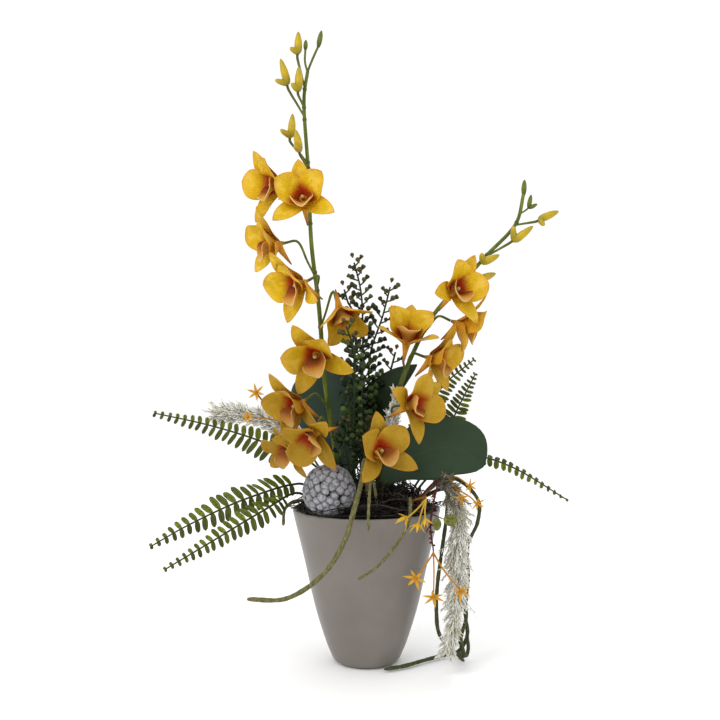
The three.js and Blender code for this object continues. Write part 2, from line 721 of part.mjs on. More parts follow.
const BACK_BERRY_TWIGS = [
  {
    points: [
      [-4, 12, 186], [-5, 10, 250], [-4, 8, 330], [-4, 8, 362],
      [-6, 8, 400], [-15, 8, 438],
    ],
    count: 10,
  },
  { points: [[-4, 12, 188], [-14, 22, 300], [-12, 22, 374], [-20, 22, 388], [-26, 22, 409]], count: 6 },
  { points: [[-4, 12, 186], [2, 10, 290], [5, 12, 334], [18, 14, 373], [28, 14, 412]], count: 7 },
  { points: [[-4, 12, 186], [10, 8, 250], [24, 12, 300], [34, 24, 338]], count: 4 },
];
const FRONT_BERRY_TWIGS = [
  {
    points: [
      [-12, -18, 186], [-14, -26, 240], [-13, -46, 300], [-13, -50, 335],
      [-23, -52, 364],
    ],
    count: 7,
  },
  { points: [[-12, -18, 186], [-22, -26, 226], [-24, -30, 262]], count: 3 },
  { points: [[-12, -18, 186], [0, -26, 226], [2, -30, 262]], count: 3 },
];

function berrySpray(foot, twigs, reach) {
  const post = planted(vecs(foot), 1.7, { sides: 5, steps: 4 });
  const branches = twigs.flatMap(({ points, count }) => berryTwig(points, count, reach, 0.25));
  return fuse([post, ...branches]);
}

// ---------------------------------------------------------------- white sprays
/** Fine pale needles standing off a slim core, thrown all round it by a seeded draw. */
function whiteSpray({ points, from, count, length, seed, sag }) {
  const random = dice(seed);
  const curve = new THREE.CatmullRomCurve3(vecs(points), false, 'centripetal');
  const core = planted(vecs(points), 1.5, { sides: 4, steps: 10, taper: 0.8 });
  const needles = Array.from({ length: count }, (_, i) => {
    const u = lerp(from, 0.995, (i + random()) / count);
    const tangent = curve.getTangentAt(u);
    const side = tangent.clone().cross(vec(0, 1, 0.01)).normalize();
    const depth = side.clone().cross(tangent);
    const turn = i * 2.39996 + random();
    const out = side.multiplyScalar(Math.cos(turn)).addScaledVector(depth, 0.7 * Math.sin(turn));
    out.addScaledVector(tangent, lerp(0.5, 1.4, random())).addScaledVector(vec(0, 0, -1), sag);
    const reach = length * lerp(0.7, 1.1, random());
    const cone = new THREE.ConeGeometry(NEEDLE_RADIUS, reach, 3)
      .translate(0, reach / 2, 0)
      .rotateX(Math.PI / 2);
    return aim(solid(cone), curve.getPointAt(u), out);
  });
  return fuse([core, ...needles]);
}

const WHITE_SPRAYS = {
  white_spray_left: {
    points: [
      [-34, 44, 116], [-42, 48, 182], [-72, 56, 226], [-110, 62, 254],
      [-140, 64, 262], [-170, 64, 262],
    ],
    from: 0.5, count: 24, length: 20, seed: 21, sag: 0,
  },
  white_spray_trailing: {
    points: [
      [52, -16, 116], [60, -20, 180], [80, -40, 196], [92, -54, 172],
      [93, -56, 110], [90, -54, 60], [84, -50, 24],
    ],
    from: 0.3, count: 32, length: 17, seed: 22, sag: 0.3,
  },
  white_spray_back: {
    points: [[28, 10, 116], [27, 8, 186], [29, -12, 262], [34, -17, 290]],
    from: 0.7, count: 9, length: 13, seed: 23, sag: 0,
  },
};

// ---------------------------------------------------------------- roots and strands
const ROOTS = {
  root_long: {
    points: [
      [4, -38, 116], [2, -42, 180], [-2, -50, 221], [-5, -66, 204], [-12, -88, 180], [-22, -97, 148],
      [-44, -93, 113], [-80, -94, 90], [-118, -96, 90],
    ],
    radius: ROOT_RADIUS, steps: 17, taper: 0.8,
  },
  root_straight: {
    points: [[12, -42, 116], [10, -50, 180], [5, -66, 206], [2, -86, 186], [1, -91, 146]],
    radius: 1.7, steps: 10, taper: 0.9,
  },
  root_short: {
    points: [
      [40, -36, 116], [44, -46, 178], [44, -66, 183], [40, -88, 160],
      [11, -88, 121], [-9, -86, 107],
    ],
    radius: 1.9, steps: 12, taper: 0.7,
  },
  root_left: {
    points: [[-54, -2, 116], [-62, -3, 170], [-76, -10, 173], [-87, -16, 166], [-89, -18, 148]],
    radius: 1.9, steps: 9, taper: 0.9,
  },
};
const STRANDS = {
  strand_right: {
    points: [
      [54, 0, 116], [60, -2, 176], [92, -10, 198], [119, -16, 176], [119, -16, 152], [108, -16, 126],
      [109, -16, 96], [106, -12, 56], [109, -4, 26], [100, 6, 6], [84, 2, 3.2], [62, -14, 3],
      [40, -32, 3], [18, -43, 3],
    ],
    radius: STRAND_RADIUS, steps: 24, taper: 1,
  },
  strand_inner: {
    points: [
      [52, -10, 116], [60, -13, 176], [84, -28, 188], [84, -36, 166], [79, -38, 128], [74, -38, 90],
      [73, -38, 60], [76, -36, 38], [90, -28, 18], [104, -20, 4],
    ],
    radius: STRAND_RADIUS, steps: 17, taper: 1,
  },
};

// ---------------------------------------------------------------- star-flower sprays
/** One star flower: a thin plate cut into slim petals, cupped towards `face`. */
function star(at, face, radius, petals = 6) {
  const { forward, right, up } = flowerFrame(vec(...face), vec(0.1, 0.2, 1));
  const middle = vec(...at);
  const rim = Array.from({ length: 2 * petals }, (_, i) => {
    const turn = (i / petals) * Math.PI + 0.3;
    const reach = i % 2 ? 0.24 * radius : radius;
    return middle.clone()
      .addScaledVector(up, reach * Math.cos(turn))
      .addScaledVector(right, reach * Math.sin(turn))
      .addScaledVector(forward, 0.3 * reach);
  });
  const [front, back] = [1.3, -1.3].map((lift) => middle.clone().addScaledVector(forward, lift));
  const faces = rim.flatMap((_, i) => {
    const next = (i + 1) % rim.length;
    return [i, next, rim.length, next, i, rim.length + 1];
  });
  const geometry = new THREE.BufferGeometry().setFromPoints([...rim, front, back]);
  geometry.setIndex(faces);
  return solid(geometry);
}

function starSpray(foot, stems, stars) {
  const stalks = stems.map((points) => rod(vecs(points), 0.9, { sides: 4, steps: 2 }));
  const flowers = stars.map(([at, face, radius]) => star(at, face, radius));
  return fuse([...foot, ...stalks, ...flowers]);
}

/** The planted stem of a star spray. */
function starFoot(points, steps) {
  return planted(vecs(points), 1.2, { sides: 4, steps });
}

function addStarSprays() {
  const front = starFoot([[34, -44, 116], [46, -60, 180], [59, -84, 189]], 5);
  addPiece('star_spray_front', starSpray([front], [
    [[59, -84, 187], [50, -90, 178], [38, -94, 168]],
    [[59, -84, 187], [54, -92, 176], [50, -98, 163]],
    [[59, -84, 187], [57, -92, 176], [57, -98, 168]],
  ], [
    [[37, -95, 167], [-0.5, -0.6, -0.8], STAR_RADIUS],
    [[49, -99, 161], [-0.1, -0.7, -0.9], STAR_RADIUS],
    [[58, -99, 166], [0.3, -0.7, -0.6], 0.85 * STAR_RADIUS],
  ]), STAR_YELLOW);
  const hub = solid(new THREE.IcosahedronGeometry(1.8, 0).translate(67, -72, 130.5));
  addPiece('star_spray_hanging', starSpray([hub], [
    [[67, -72, 130.5], [60, -80, 122], [49, -88, 110]],
    [[67, -72, 130.5], [67, -80, 112], [66, -86, 93]],
    [[67, -72, 130.5], [76, -80, 116], [92, -84, 97]],
  ], [
    [[48, -89, 109], [-0.5, -0.8, -0.4], STAR_RADIUS],
    [[66, -87, 90], [0, -0.9, -0.5], STAR_RADIUS],
    [[93, -85, 95], [0.4, -0.8, -0.4], STAR_RADIUS],
  ]), STAR_ORANGE);
  const right = starFoot([[46, -24, 116], [58, -31, 178], [80, -44, 205], [96, -60, 187]], 7);
  addPiece('star_spray_right', starSpray([right], [
    [[80, -44, 205], [94, -42, 203], [106, -42, 195]],
    [[90, -52, 193], [104, -58, 186], [112, -58, 179]],
  ], [
    [[107, -42, 194], [0.5, -0.8, -0.2], 0.8 * STAR_RADIUS],
    [[97, -59, 184], [0, -0.8, -0.6], 0.9 * STAR_RADIUS],
    [[113, -58, 178], [0.4, -0.8, -0.4], 0.8 * STAR_RADIUS],
  ]), STAR_ORANGE);
  const left = starFoot([
    [-24, 30, 116], [-30, 34, 182], [-70, 28, 240], [-104, 18, 268], [-121, 12, 288],
  ], 7);
  addPiece('star_spray_left', starSpray([left], [
    [[-88, 24, 256], [-112, 20, 260], [-130, 18, 262]],
  ], [
    [[-121, 11, 289], [-0.2, -0.9, 0.3], STAR_RADIUS],
    [[-131, 18, 262], [-0.4, -0.9, 0], 0.8 * STAR_RADIUS],
  ]), STAR_ORANGE);
}

// ---------------------------------------------------------------- red twig and its leaves
function addRedTwig() {
  const main = planted(vecs([
    [44, -28, 116], [54, -40, 178], [72, -62, 202], [68, -70, 184], [64, -74, 160], [67, -72, 132.8],
  ]), 1.1, { sides: 4, steps: 10 });
  const spurs = [
    rod(vecs([[64, -72, 170], [70, -76, 168], [76, -78, 166]]), 0.8, { sides: 4, steps: 2 }),
    rod(vecs([[64, -73, 158], [61, -75, 155], [60, -76, 152]]), 0.8, { sides: 4, steps: 2 }),
  ];
  addPiece('red_twig', fuse([main, ...spurs]), TWIG_RED);
}

/** A small leaf: a flat pad that hangs by its tip from a twig. */
function smallLeaf(top, bottom, width, normal) {
  const [start, end] = [vec(...top), vec(...bottom)];
  const facing = vec(...normal).normalize();
  const run = end.clone().sub(start);
  const across = run.clone().cross(facing).normalize();
  return blade((s, t) => (
    start.clone().addScaledVector(run, s)
      .addScaledVector(across, 0.5 * width * t * (0.12 + 0.88 * Math.sin(Math.PI * s) ** 0.6))
  ), 5, 2, 1.6);
}

// ---------------------------------------------------------------- berry-textured ball
/** A ball of knobs: a geodesic ball with each face's middle pressed in. */
function knobbedBall(centre, radius, relief) {
  const ball = new THREE.IcosahedronGeometry(radius, 2);
  const place = ball.attributes.position;
  const points = [];
  for (let i = 0; i < place.count; i += 3) {
    const corners = [0, 1, 2].map((k) => vec(0, 0, 0).fromBufferAttribute(place, i + k));
    const pit = vec(0, 0, 0).add(corners[0]).add(corners[1]).add(corners[2]).setLength(radius - relief);
    [0, 1, 2].forEach((k) => points.push(corners[k], corners[(k + 1) % 3], pit));
  }
  const geometry = new THREE.BufferGeometry().setFromPoints(points);
  return solid(mergeVertices(geometry, 1e-4).translate(...centre));
}

const BALL_CENTRE = [-39, -46, 189.3];

// ---------------------------------------------------------------- the whole arrangement
addOrchid('left', LEFT_STEM, LEFT_BLOOMS, LEFT_BUDS, LEFT_TIPS);
addOrchid('right', RIGHT_STEM, RIGHT_BLOOMS, RIGHT_BUDS, RIGHT_TIPS);
addPiece('leaf_back', strapLeaf(BACK_LEAF), LEAF_BLUE_GREEN);
addPiece('leaf_folded', strapLeaf(FOLDED_LEAF), LEAF_DARK_GREEN);
addPiece('leaf_front', strapLeaf(FRONT_LEAF), LEAF_DARK_GREEN);
for (const [name, frond] of Object.entries(FERNS)) addPiece(name, fern(frond), FERN_GREEN);
const backBerries = berrySpray([[-4, 12, 116], [-4, 12, 190]], BACK_BERRY_TWIGS, 15);
const frontBerries = berrySpray([[-12, -18, 116], [-12, -18, 190]], FRONT_BERRY_TWIGS, 12);
addPiece('berry_spray_back', backBerries, BERRY_GREEN);
addPiece('berry_spray_front', frontBerries, BERRY_GREEN);
for (const [name, spray] of Object.entries(WHITE_SPRAYS)) {
  addPiece(name, whiteSpray(spray), SPRAY_WHITE);
}
for (const [name, { points, radius, steps, taper }] of Object.entries(ROOTS)) {
  addPiece(name, planted(vecs(points), radius, { sides: 4, steps, taper }), ROOT_OLIVE);
}
for (const [name, { points, radius, steps, taper }] of Object.entries(STRANDS)) {
  addPiece(name, planted(vecs(points), radius, { sides: 4, steps, taper }), STRAND_GREEN);
}
addStarSprays();
addRedTwig();
const roundLeaf = smallLeaf([76.5, -78.1, 165.8], [92, -80, 162], 13, [0, -1, 0.1]);
const dropLeaf = smallLeaf([70.2, -76.1, 166.85], [70, -79, 154], 9, [0, -1, 0]);
addPiece('small_leaf_round', roundLeaf, LEAFLET_OLIVE);
addPiece('small_leaf_drop', dropLeaf, LEAFLET_OLIVE);
addPiece('berry_ball', knobbedBall(BALL_CENTRE, BALL_RADIUS, BALL_RELIEF), BALL_GREY);
const seatShape = new THREE.IcosahedronGeometry(BALL_RADIUS + 2 * SEAT_GAP, 3);
const ballSeat = solid(seatShape.translate(...BALL_CENTRE));
addPiece('twig_nest', nest(ballSeat), DARK_TWIG);
addPiece('filling', filling(), FILLING);
addPiece('pot', pot(), POT_GLAZE);

export default group;
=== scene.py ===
# %% [markdown]
# # A potted orchid arrangement
# Two arching orchid stems carry golden blooms and buds over strap leaves, fern fronds, berry
# sprays, fine white sprays, star flowers, aerial roots and a knobbed grey ball, all standing in
# a tapered ceramic pot. The packed solids give every piece its place. This file grows a finer
# piece over each of them and gives it its finish. Lengths are in millimetres until a mesh is
# made, +Z is up and the front of the arrangement faces -Y.

# %% Load the solids
from functools import partialmethod

import bpy
import numpy as np
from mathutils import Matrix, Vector


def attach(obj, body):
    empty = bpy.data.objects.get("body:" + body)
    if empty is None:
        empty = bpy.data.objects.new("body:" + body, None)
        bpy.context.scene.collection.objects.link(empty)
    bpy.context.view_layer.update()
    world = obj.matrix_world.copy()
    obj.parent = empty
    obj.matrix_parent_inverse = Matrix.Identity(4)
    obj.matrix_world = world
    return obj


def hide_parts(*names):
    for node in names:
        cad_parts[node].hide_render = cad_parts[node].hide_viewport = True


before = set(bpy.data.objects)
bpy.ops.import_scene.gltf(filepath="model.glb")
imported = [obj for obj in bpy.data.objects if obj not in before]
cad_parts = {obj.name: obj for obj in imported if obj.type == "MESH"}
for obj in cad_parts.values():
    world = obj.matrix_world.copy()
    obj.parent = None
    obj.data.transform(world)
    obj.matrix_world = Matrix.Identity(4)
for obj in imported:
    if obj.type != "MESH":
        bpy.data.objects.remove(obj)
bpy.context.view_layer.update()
dice = np.random.default_rng(8)

# %% [markdown]
# ## Lines
# Stems, roots and ribs all follow a smooth line through a few points. They could be curve
# objects, but then their thickness and their notes for the finishes would be harder to set. So
# a line here is a plain list of points: a cubic between each pair, with slopes weighted by the
# square root of the distances, which never loops where two points are close. A planted piece
# starts with a straight foot, because its hole in the filling is straight.


# %% A smooth line, and one with a straight foot
def unit(vectors):
    """Vectors divided by their length."""
    vectors = np.asarray(vectors, float)
    return vectors / np.maximum(np.linalg.norm(vectors, axis=-1, keepdims=True), 1e-9)


def smooth(points, count):
    """`count` points, evenly spaced, on the line through `points`.

    Each stretch from b to c is a cubic that leaves b and reaches c with slopes taken from the
    points before and after, divided by the square roots of the distances between them.
    """
    p = np.asarray(points, float)
    p = np.vstack([2 * p[0] - p[1], p, 2 * p[-1] - p[-2]])
    gap = np.sqrt(np.linalg.norm(np.diff(p, axis=0), axis=1))[:, None]
    a, b, c, d = p[:-3], p[1:-2], p[2:-1], p[3:]
    g0, g1, g2 = gap[:-2], gap[1:-1], gap[2:]
    leave = ((b - a) / g0 - (c - a) / (g0 + g1) + (c - b) / g1) * g1
    reach = ((c - b) / g1 - (d - b) / (g1 + g2) + (d - c) / g2) * g1
    w = np.linspace(0, 1, 33)[None, :, None]
    b, c, leave, reach = b[:, None], c[:, None], leave[:, None], reach[:, None]
    line = (2 * w**3 - 3 * w**2 + 1) * b + (w**3 - 2 * w**2 + w) * leave
    line = (line + (3 * w**2 - 2 * w**3) * c + (w**3 - w**2) * reach).reshape(-1, 3)
    far = np.append(0, np.cumsum(np.linalg.norm(np.diff(line, axis=0), axis=1)))
    places = np.linspace(0, far[-1], count)
    return np.stack([np.interp(places, far, line[:, axis]) for axis in range(3)], 1)


def planted(points, count):
    """A straight foot from the first point to the second, then a smooth line through the rest."""
    foot, neck = np.asarray(points[:2], float)
    start = neck + 4 * unit(foot - neck)
    return np.vstack([foot, smooth([start, neck, *points[2:]], count)])


def along(line, shares):
    """Places and directions at `shares` (0 to 1) of an evenly spaced line."""
    steps = np.asarray(shares) * (len(line) - 1)
    values = np.concatenate([line, np.gradient(line, axis=0)], 1).T
    found = np.stack([np.interp(steps, np.arange(len(line)), value) for value in values], -1)
    return found[..., :3], unit(found[..., 3:])


def length_of(line):
    """The sum of the steps between a line's points."""
    return np.linalg.norm(np.diff(line, axis=0), axis=1).sum()


bend = smooth([(0, 0, 0), (70, 70, 0), (140, 0, 0)], 99)
print("a bend through three points is", round(length_of(bend)), "mm long")

# %% [markdown]
# ## Rods and blades
# Nearly everything here is either round along a line (stems, berries, buds, fibres) or thin and
# bent (petals, leaves, leaflets). So two builders make most of the arrangement, each of them
# working on a whole family of shapes at once. Every shape is closed, because real petals have
# two faces and because the meshes are used on their own too. Each point also keeps two notes
# that the finishes read: `place` (across, lengthwise, extra) and `info` (kind, tone, back).
# Kind 0 is the piece's main shape and kind 1 mostly the stalk that carries it.


# %% A family of shapes
MAIN, STALK = 0, 1


def family(at, faces, across, lengthwise, kind=MAIN, tone=0.5, extra=0.0, back=0.0):
    """Many shapes of one build, with their notes; `at` is (shapes, points, 3).

    The faces are those of one shape. Every further shape repeats them with its own points, so
    its point numbers are the first shape's plus the points counted so far. Each note is a
    number or an array that fits (shapes, points).
    """
    count, size = at.shape[:2]
    shift = (np.arange(count) * size)[:, None, None]
    values = (across, lengthwise, extra, kind, tone, back)
    notes = np.stack([np.broadcast_to(value, (count, size)) for value in values], -1).reshape(-1, 6)
    quads, triangles = faces
    return {
        "at": at.reshape(-1, 3),
        "quads": (quads[None] + shift).reshape(-1, 4),
        "triangles": (triangles[None] + shift).reshape(-1, 3),
        "place": notes[:, :3],
        "info": notes[:, 3:],
    }


def tube_faces(rings, spokes):
    """Quads between neighbouring rings, and triangles that close each end on a point.

    The points are counted ring by ring, and the first and last end's points come after them.
    """
    ring, spoke = np.meshgrid(np.arange(rings - 1), np.arange(spokes), indexing="ij")
    a, b = ring * spokes + spoke, ring * spokes + (spoke + 1) % spokes
    quads = np.stack([a, b, b + spokes, a + spokes], -1).reshape(-1, 4)
    spoke = np.arange(spokes)
    ahead, last, pole = (spoke + 1) % spokes, (rings - 1) * spokes, rings * spokes
    first = np.stack([np.full(spokes, pole), ahead, spoke], 1)
    final = np.stack([np.full(spokes, pole + 1), last + spoke, last + ahead], 1)
    return quads, np.vstack([first, final])


print("faces of a tube with 4 rings of 8:", [len(faces) for faces in tube_faces(4, 8)])


# %% Rods
def rods(lines, radii, sides=8, kind=MAIN, tone=0.5, extra=0.0):
    """Round rods along many lines at once; `lines` is (rods, points, 3), `radii` fits it.

    A ring round each point: centre + radius * (cos(turn) * side + sin(turn) * up). The side
    direction is carried from ring to ring by taking out its part along the line, so no rod
    twists. A point in the middle of each end closes it.
    """
    lines = np.asarray(lines, float).reshape(-1, *np.shape(lines)[-2:])
    count, rings = lines.shape[:2]
    radii = np.broadcast_to(radii, (count, rings))
    ways = unit(np.gradient(lines, axis=1))
    least = np.eye(3)[np.argmin(np.abs(ways[:, 0]), axis=1)]
    side = unit(np.cross(ways[:, 0], least))
    carried = []
    for ring in range(rings):
        way = ways[:, ring]
        side = unit(side - (side * way).sum(1, keepdims=True) * way)
        carried.append(side)
    side = np.stack(carried, 1)[:, :, None]
    up = np.cross(ways[:, :, None], side)
    turn = np.arange(sides)[None, None, :, None] * 2 * np.pi / sides
    skin = lines[:, :, None] + radii[..., None, None] * (np.cos(turn) * side + np.sin(turn) * up)
    at = np.concatenate([skin.reshape(count, -1, 3), lines[:, [0, -1]]], 1)
    across = np.append(np.tile(np.arange(sides) / sides, rings), [0, 0])
    lengthwise = np.append(np.repeat(np.linspace(0, 1, rings), sides), [0, 1])
    tone, extra = np.reshape(tone, (-1, 1)), np.reshape(extra, (-1, 1))
    return family(at, tube_faces(rings, sides), across, lengthwise, kind, tone, extra)


print("points of a straight rod:", len(rods([(0, 0, 0), (0, 0, 1)], 1)["at"]))


# %% Blades
RIM_THICKNESS = 0.25


def blades(grids, thickness, kind=MAIN, tone=0.5):
    """Thin closed blades; `grids` is (blades, rows, columns, 3), rows running along each one.

    Each grid is copied to both sides along its normal, the cross product of the directions
    along and across it. The thickness falls to a quarter at the outline, and a band of faces
    between the two copies closes the rim.
    """
    grids = np.asarray(grids, float).reshape(-1, *np.shape(grids)[-3:])
    count, rows, columns = grids.shape[:3]
    normal = unit(np.cross(np.gradient(grids, axis=1), np.gradient(grids, axis=2)))
    half = np.full((rows, columns), 0.5 * thickness)
    half[[0, -1]] *= RIM_THICKNESS
    half[:, [0, -1]] *= RIM_THICKNESS
    lift = normal * half[..., None]
    size = rows * columns
    at = np.concatenate([(grids + side * lift).reshape(count, size, 3) for side in (1, -1)], 1)
    index = np.arange(size).reshape(rows, columns)
    a, b, c, d = index[:-1, :-1], index[:-1, 1:], index[1:, 1:], index[1:, :-1]
    front = np.stack([a, d, c, b], -1).reshape(-1, 4)
    rear = np.stack([a, b, c, d], -1).reshape(-1, 4) + size
    loop = np.concatenate([index[0], index[1:, -1], index[-1, -2::-1], index[-2:0:-1, 0]])
    after = np.roll(loop, -1)
    rim = np.stack([loop, after, after + size, loop + size], -1)
    faces = np.vstack([front, rear, rim]), np.zeros((0, 3), int)
    lengthwise, across = np.meshgrid(np.linspace(0, 1, rows), np.linspace(0, 1, columns), indexing="ij")
    across, lengthwise = np.tile(across.ravel(), 2), np.tile(lengthwise.ravel(), 2)
    back = np.repeat([0.0, 1.0], size)
    return family(at, faces, across, lengthwise, kind, np.reshape(tone, (-1, 1)), back=back)


flat_square = np.stack(np.meshgrid([0, 1], [0, 1], [0], indexing="ij"), -1).reshape(1, 2, 2, 3)
print("faces of the plainest blade:", len(blades(flat_square, 0.1)["quads"]))

# %% [markdown]
# ## One mesh for each solid
# A bloom is nine shapes and a spray has thousands, but each stands for one solid. Joining
# them as arrays is quick and gives one mesh with its notes, one finish and one place in the
# frame: it rides on the root body and replaces the solid of the same name.


# %% Join the shapes of one piece
finishes = {}
made = {}


def put_in_scene(name, data):
    """A new object for a mesh, a light or a camera, linked to the scene."""
    thing = bpy.data.objects.new(name, data)
    bpy.context.scene.collection.objects.link(thing)
    return thing


def piece(name, parts, finish):
    """One mesh in metres from many shapes; it stands for the solid of the same name."""
    starts = np.cumsum([0] + [len(shape["at"]) for shape in parts])
    quads = np.vstack([shape["quads"] + start for shape, start in zip(parts, starts)])
    triangles = np.vstack([shape["triangles"] + start for shape, start in zip(parts, starts)])
    at = np.vstack([shape["at"] for shape in parts]) * 0.001
    mesh = bpy.data.meshes.new(name)
    mesh.vertices.add(len(at))
    mesh.vertices.foreach_set("co", at.astype(np.float32).ravel())
    corners = np.concatenate([quads.ravel(), triangles.ravel()])
    mesh.loops.add(len(corners))
    mesh.loops.foreach_set("vertex_index", corners.astype(np.int32))
    first = np.concatenate([np.arange(len(quads)) * 4, 4 * len(quads) + np.arange(len(triangles)) * 3])
    mesh.polygons.add(len(first))
    mesh.polygons.foreach_set("loop_start", first.astype(np.int32))
    for note in ("place", "info"):
        values = np.vstack([shape[note] for shape in parts]).astype(np.float32)
        mesh.attributes.new(note, "FLOAT_VECTOR", "POINT").data.foreach_set("vector", values.ravel())
    mesh.update(calc_edges=True)
    mesh.validate()
    mesh.shade_smooth()
    mesh.materials.append(finishes[finish])
    thing = put_in_scene(name + "_look", mesh)
    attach(thing, "root")
    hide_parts(name)
    made[name] = 2 * len(quads) + len(triangles)
    print(name, "has", made[name], "triangles")


print("solids to stand for:", ", ".join(sorted(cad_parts)[:4]), "and so on")

# %% [markdown]
# ## Writing finishes as sums
# A finish is a small formula: a colour along the petal, a little darker where a vein runs, more
# orange at the rim. One class wraps a socket so that such a formula is written with + - * / and
# becomes Math nodes. Every other node comes from one method, `add`.


# %% Sockets that do sums
class Wire:
    """An output socket that adds, subtracts, multiplies and divides through Math nodes."""

    def __init__(self, socket):
        self.socket = socket
        self.tree = socket.id_data

    def sum(self, operation, *others):
        """A Math node of that operation, with this wire first and the others after it."""
        inputs = dict(enumerate((self, *others)))
        return add(self.tree, "ShaderNodeMath", {"operation": operation}, inputs)

    __add__ = __radd__ = partialmethod(sum, "ADD")
    __mul__ = __rmul__ = partialmethod(sum, "MULTIPLY")
    __sub__ = partialmethod(sum, "SUBTRACT")
    __truediv__ = partialmethod(sum, "DIVIDE")
    __pow__ = partialmethod(sum, "POWER")

    def __rsub__(self, other):
        return self * -1 + other

    def equals(self, number):
        """1 where the value is `number`, 0 elsewhere; made for the whole numbers of `kind`."""
        return self.sum("COMPARE", number, 0.5)

    def between(self, low, high):
        """0 below `low`, 1 above `high` and a smooth rise in between (falling if low > high)."""
        if low > high:
            return 1 - self.between(high, low)
        settings = {"interpolation_type": "SMOOTHSTEP"}
        return add(self.tree, "ShaderNodeMapRange", settings, {"Value": self, 1: low, 2: high})

    def wave(self):
        """A sine that runs from 0 to 1."""
        return self.sum("SINE") * 0.5 + 0.5


def add(tree, kind, settings=None, inputs=None, output=0):
    """One node: its settings first, then its sockets' values or links; gives its output wire."""
    node = tree.nodes.new(kind)
    for name, value in (settings or {}).items():
        if name == "stops":
            elements = node.color_ramp.elements
            elements.remove(elements[-1])
            elements[0].position, elements[0].color = value[0]
            for place, colour in value[1:]:
                elements.new(place).color = colour
        else:
            setattr(node, name, value)
    for name, value in (inputs or {}).items():
        if isinstance(value, Wire):
            tree.links.new(value.socket, node.inputs[name])
        else:
            node.inputs[name].default_value = value
    return Wire(node.outputs[output]) if len(node.outputs) else None


print("a wire also has:", ", ".join(name for name in vars(Wire) if not name.startswith("_")))

# %% Colours and mixes
STUDIO_BRIGHTNESS = 1.4


def light_values(shade):
    """Three numbers are a colour as seen on screen, 0 to 255; anything else is left as it is.

    Each number becomes the light value that shaders use, and is divided by the brightness of
    the studio, so that the colour is seen as written.
    """
    if not isinstance(shade, tuple) or len(shade) != 3:
        return shade
    screen = np.array(shade) / 255
    light = np.where(screen <= 0.04045, screen / 12.92, ((screen + 0.055) / 1.055) ** 2.4)
    return (*(light / STUDIO_BRIGHTNESS).tolist(), 1.0)


def mix(share, first, second):
    """`first` where the share is 0, `second` where it is 1."""
    inputs = {0: share, 6: light_values(first), 7: light_values(second)}
    return add(share.tree, "ShaderNodeMix", {"data_type": "RGBA"}, inputs, 2)


def paint(skin, *coats):
    """Coats over a skin, each (share, colour), the later ones on top."""
    for share, shade in coats:
        skin = mix(share, skin, shade)
    return skin


def ramp(value, *stops):
    """A colour that runs through the stops, each (place, colour), as the value goes from 0 to 1."""
    stops = [(place, light_values(shade)) for place, shade in stops]
    return add(value.tree, "ShaderNodeValToRGB", {"stops": stops}, {"Fac": value})


print("mid grey as light:", np.round(light_values((128, 128, 128)), 3))

# %% Notes, patterns and bumps
NOTES = {
    "across": ("place", "X"), "lengthwise": ("place", "Y"), "extra": ("place", "Z"),
    "kind": ("info", "X"), "tone": ("info", "Y"), "back": ("info", "Z"),
}


def read(tree, *names):
    """The notes of these names, as wires."""
    wires = []
    for note, axis in map(NOTES.get, names):
        vector = add(tree, "ShaderNodeAttribute", {"attribute_name": note}, {}, "Vector")
        wires.append(add(tree, "ShaderNodeSeparateXYZ", {}, {0: vector}, axis))
    return wires


def off_middle(across):
    """How far a point is from a blade's rib: 0 on the rib and 1 at both edges."""
    return (across * 2 - 1).sum("ABSOLUTE")


def spot(tree, stretch=(1, 1, 1)):
    """Where a point is on the object, in metres, stretched along each axis."""
    where = add(tree, "ShaderNodeTexCoord", {}, {}, "Object")
    return add(tree, "ShaderNodeVectorMath", {"operation": "MULTIPLY"}, {0: where, 1: stretch})


def cloud(tree, scale, detail, stretch=(1, 1, 1), roughness=0.55):
    """Soft random patches from 0 to 1, `scale` of them to the metre."""
    inputs = {"Vector": spot(tree, stretch), "Scale": scale, "Detail": detail, "Roughness": roughness}
    return add(tree, "ShaderNodeTexNoise", {}, inputs)


def height_on_object(tree):
    """Metres above the surface that the arrangement stands on."""
    return add(tree, "ShaderNodeSeparateXYZ", {}, {0: spot(tree)}, "Z")


def bumps(height, depth):
    """Normals of a surface raised by `height` times `depth` metres."""
    return add(height.tree, "ShaderNodeBump", {}, {"Height": height, "Distance": depth, "Strength": 1.0})


def finish(name, build):
    """A material whose Principled sockets come from build(tree)."""
    material = bpy.data.materials.new(name)
    material.use_nodes = True
    tree = material.node_tree
    tree.nodes.clear()
    sockets = {"Specular IOR Level": 0.2} | build(tree)
    surface = add(tree, "ShaderNodeBsdfPrincipled", {}, sockets)
    add(tree, "ShaderNodeOutputMaterial", {}, {"Surface": surface})
    finishes[name] = material
    print("finish", name, "has", len(tree.nodes), "nodes")


print("notes that a finish can read:", ", ".join(NOTES))

# %% [markdown]
# ## Petal, bud and stem finishes
# A petal is mustard in the middle, gold outside, with a thin orange rim and a red patch where it
# leaves the throat. The lip is peach with a cream edge. The backs are a darker orange. A painted
# image could show this, but it would have to be fitted to every petal; the notes already say how
# far across and along a point is, so the colour follows the petal however it bends.

# %% Petals
SEPAL_KIND, PETAL_KIND, LIP_KIND, COLUMN_KIND, CUP_KIND, CHIN_KIND = range(6)


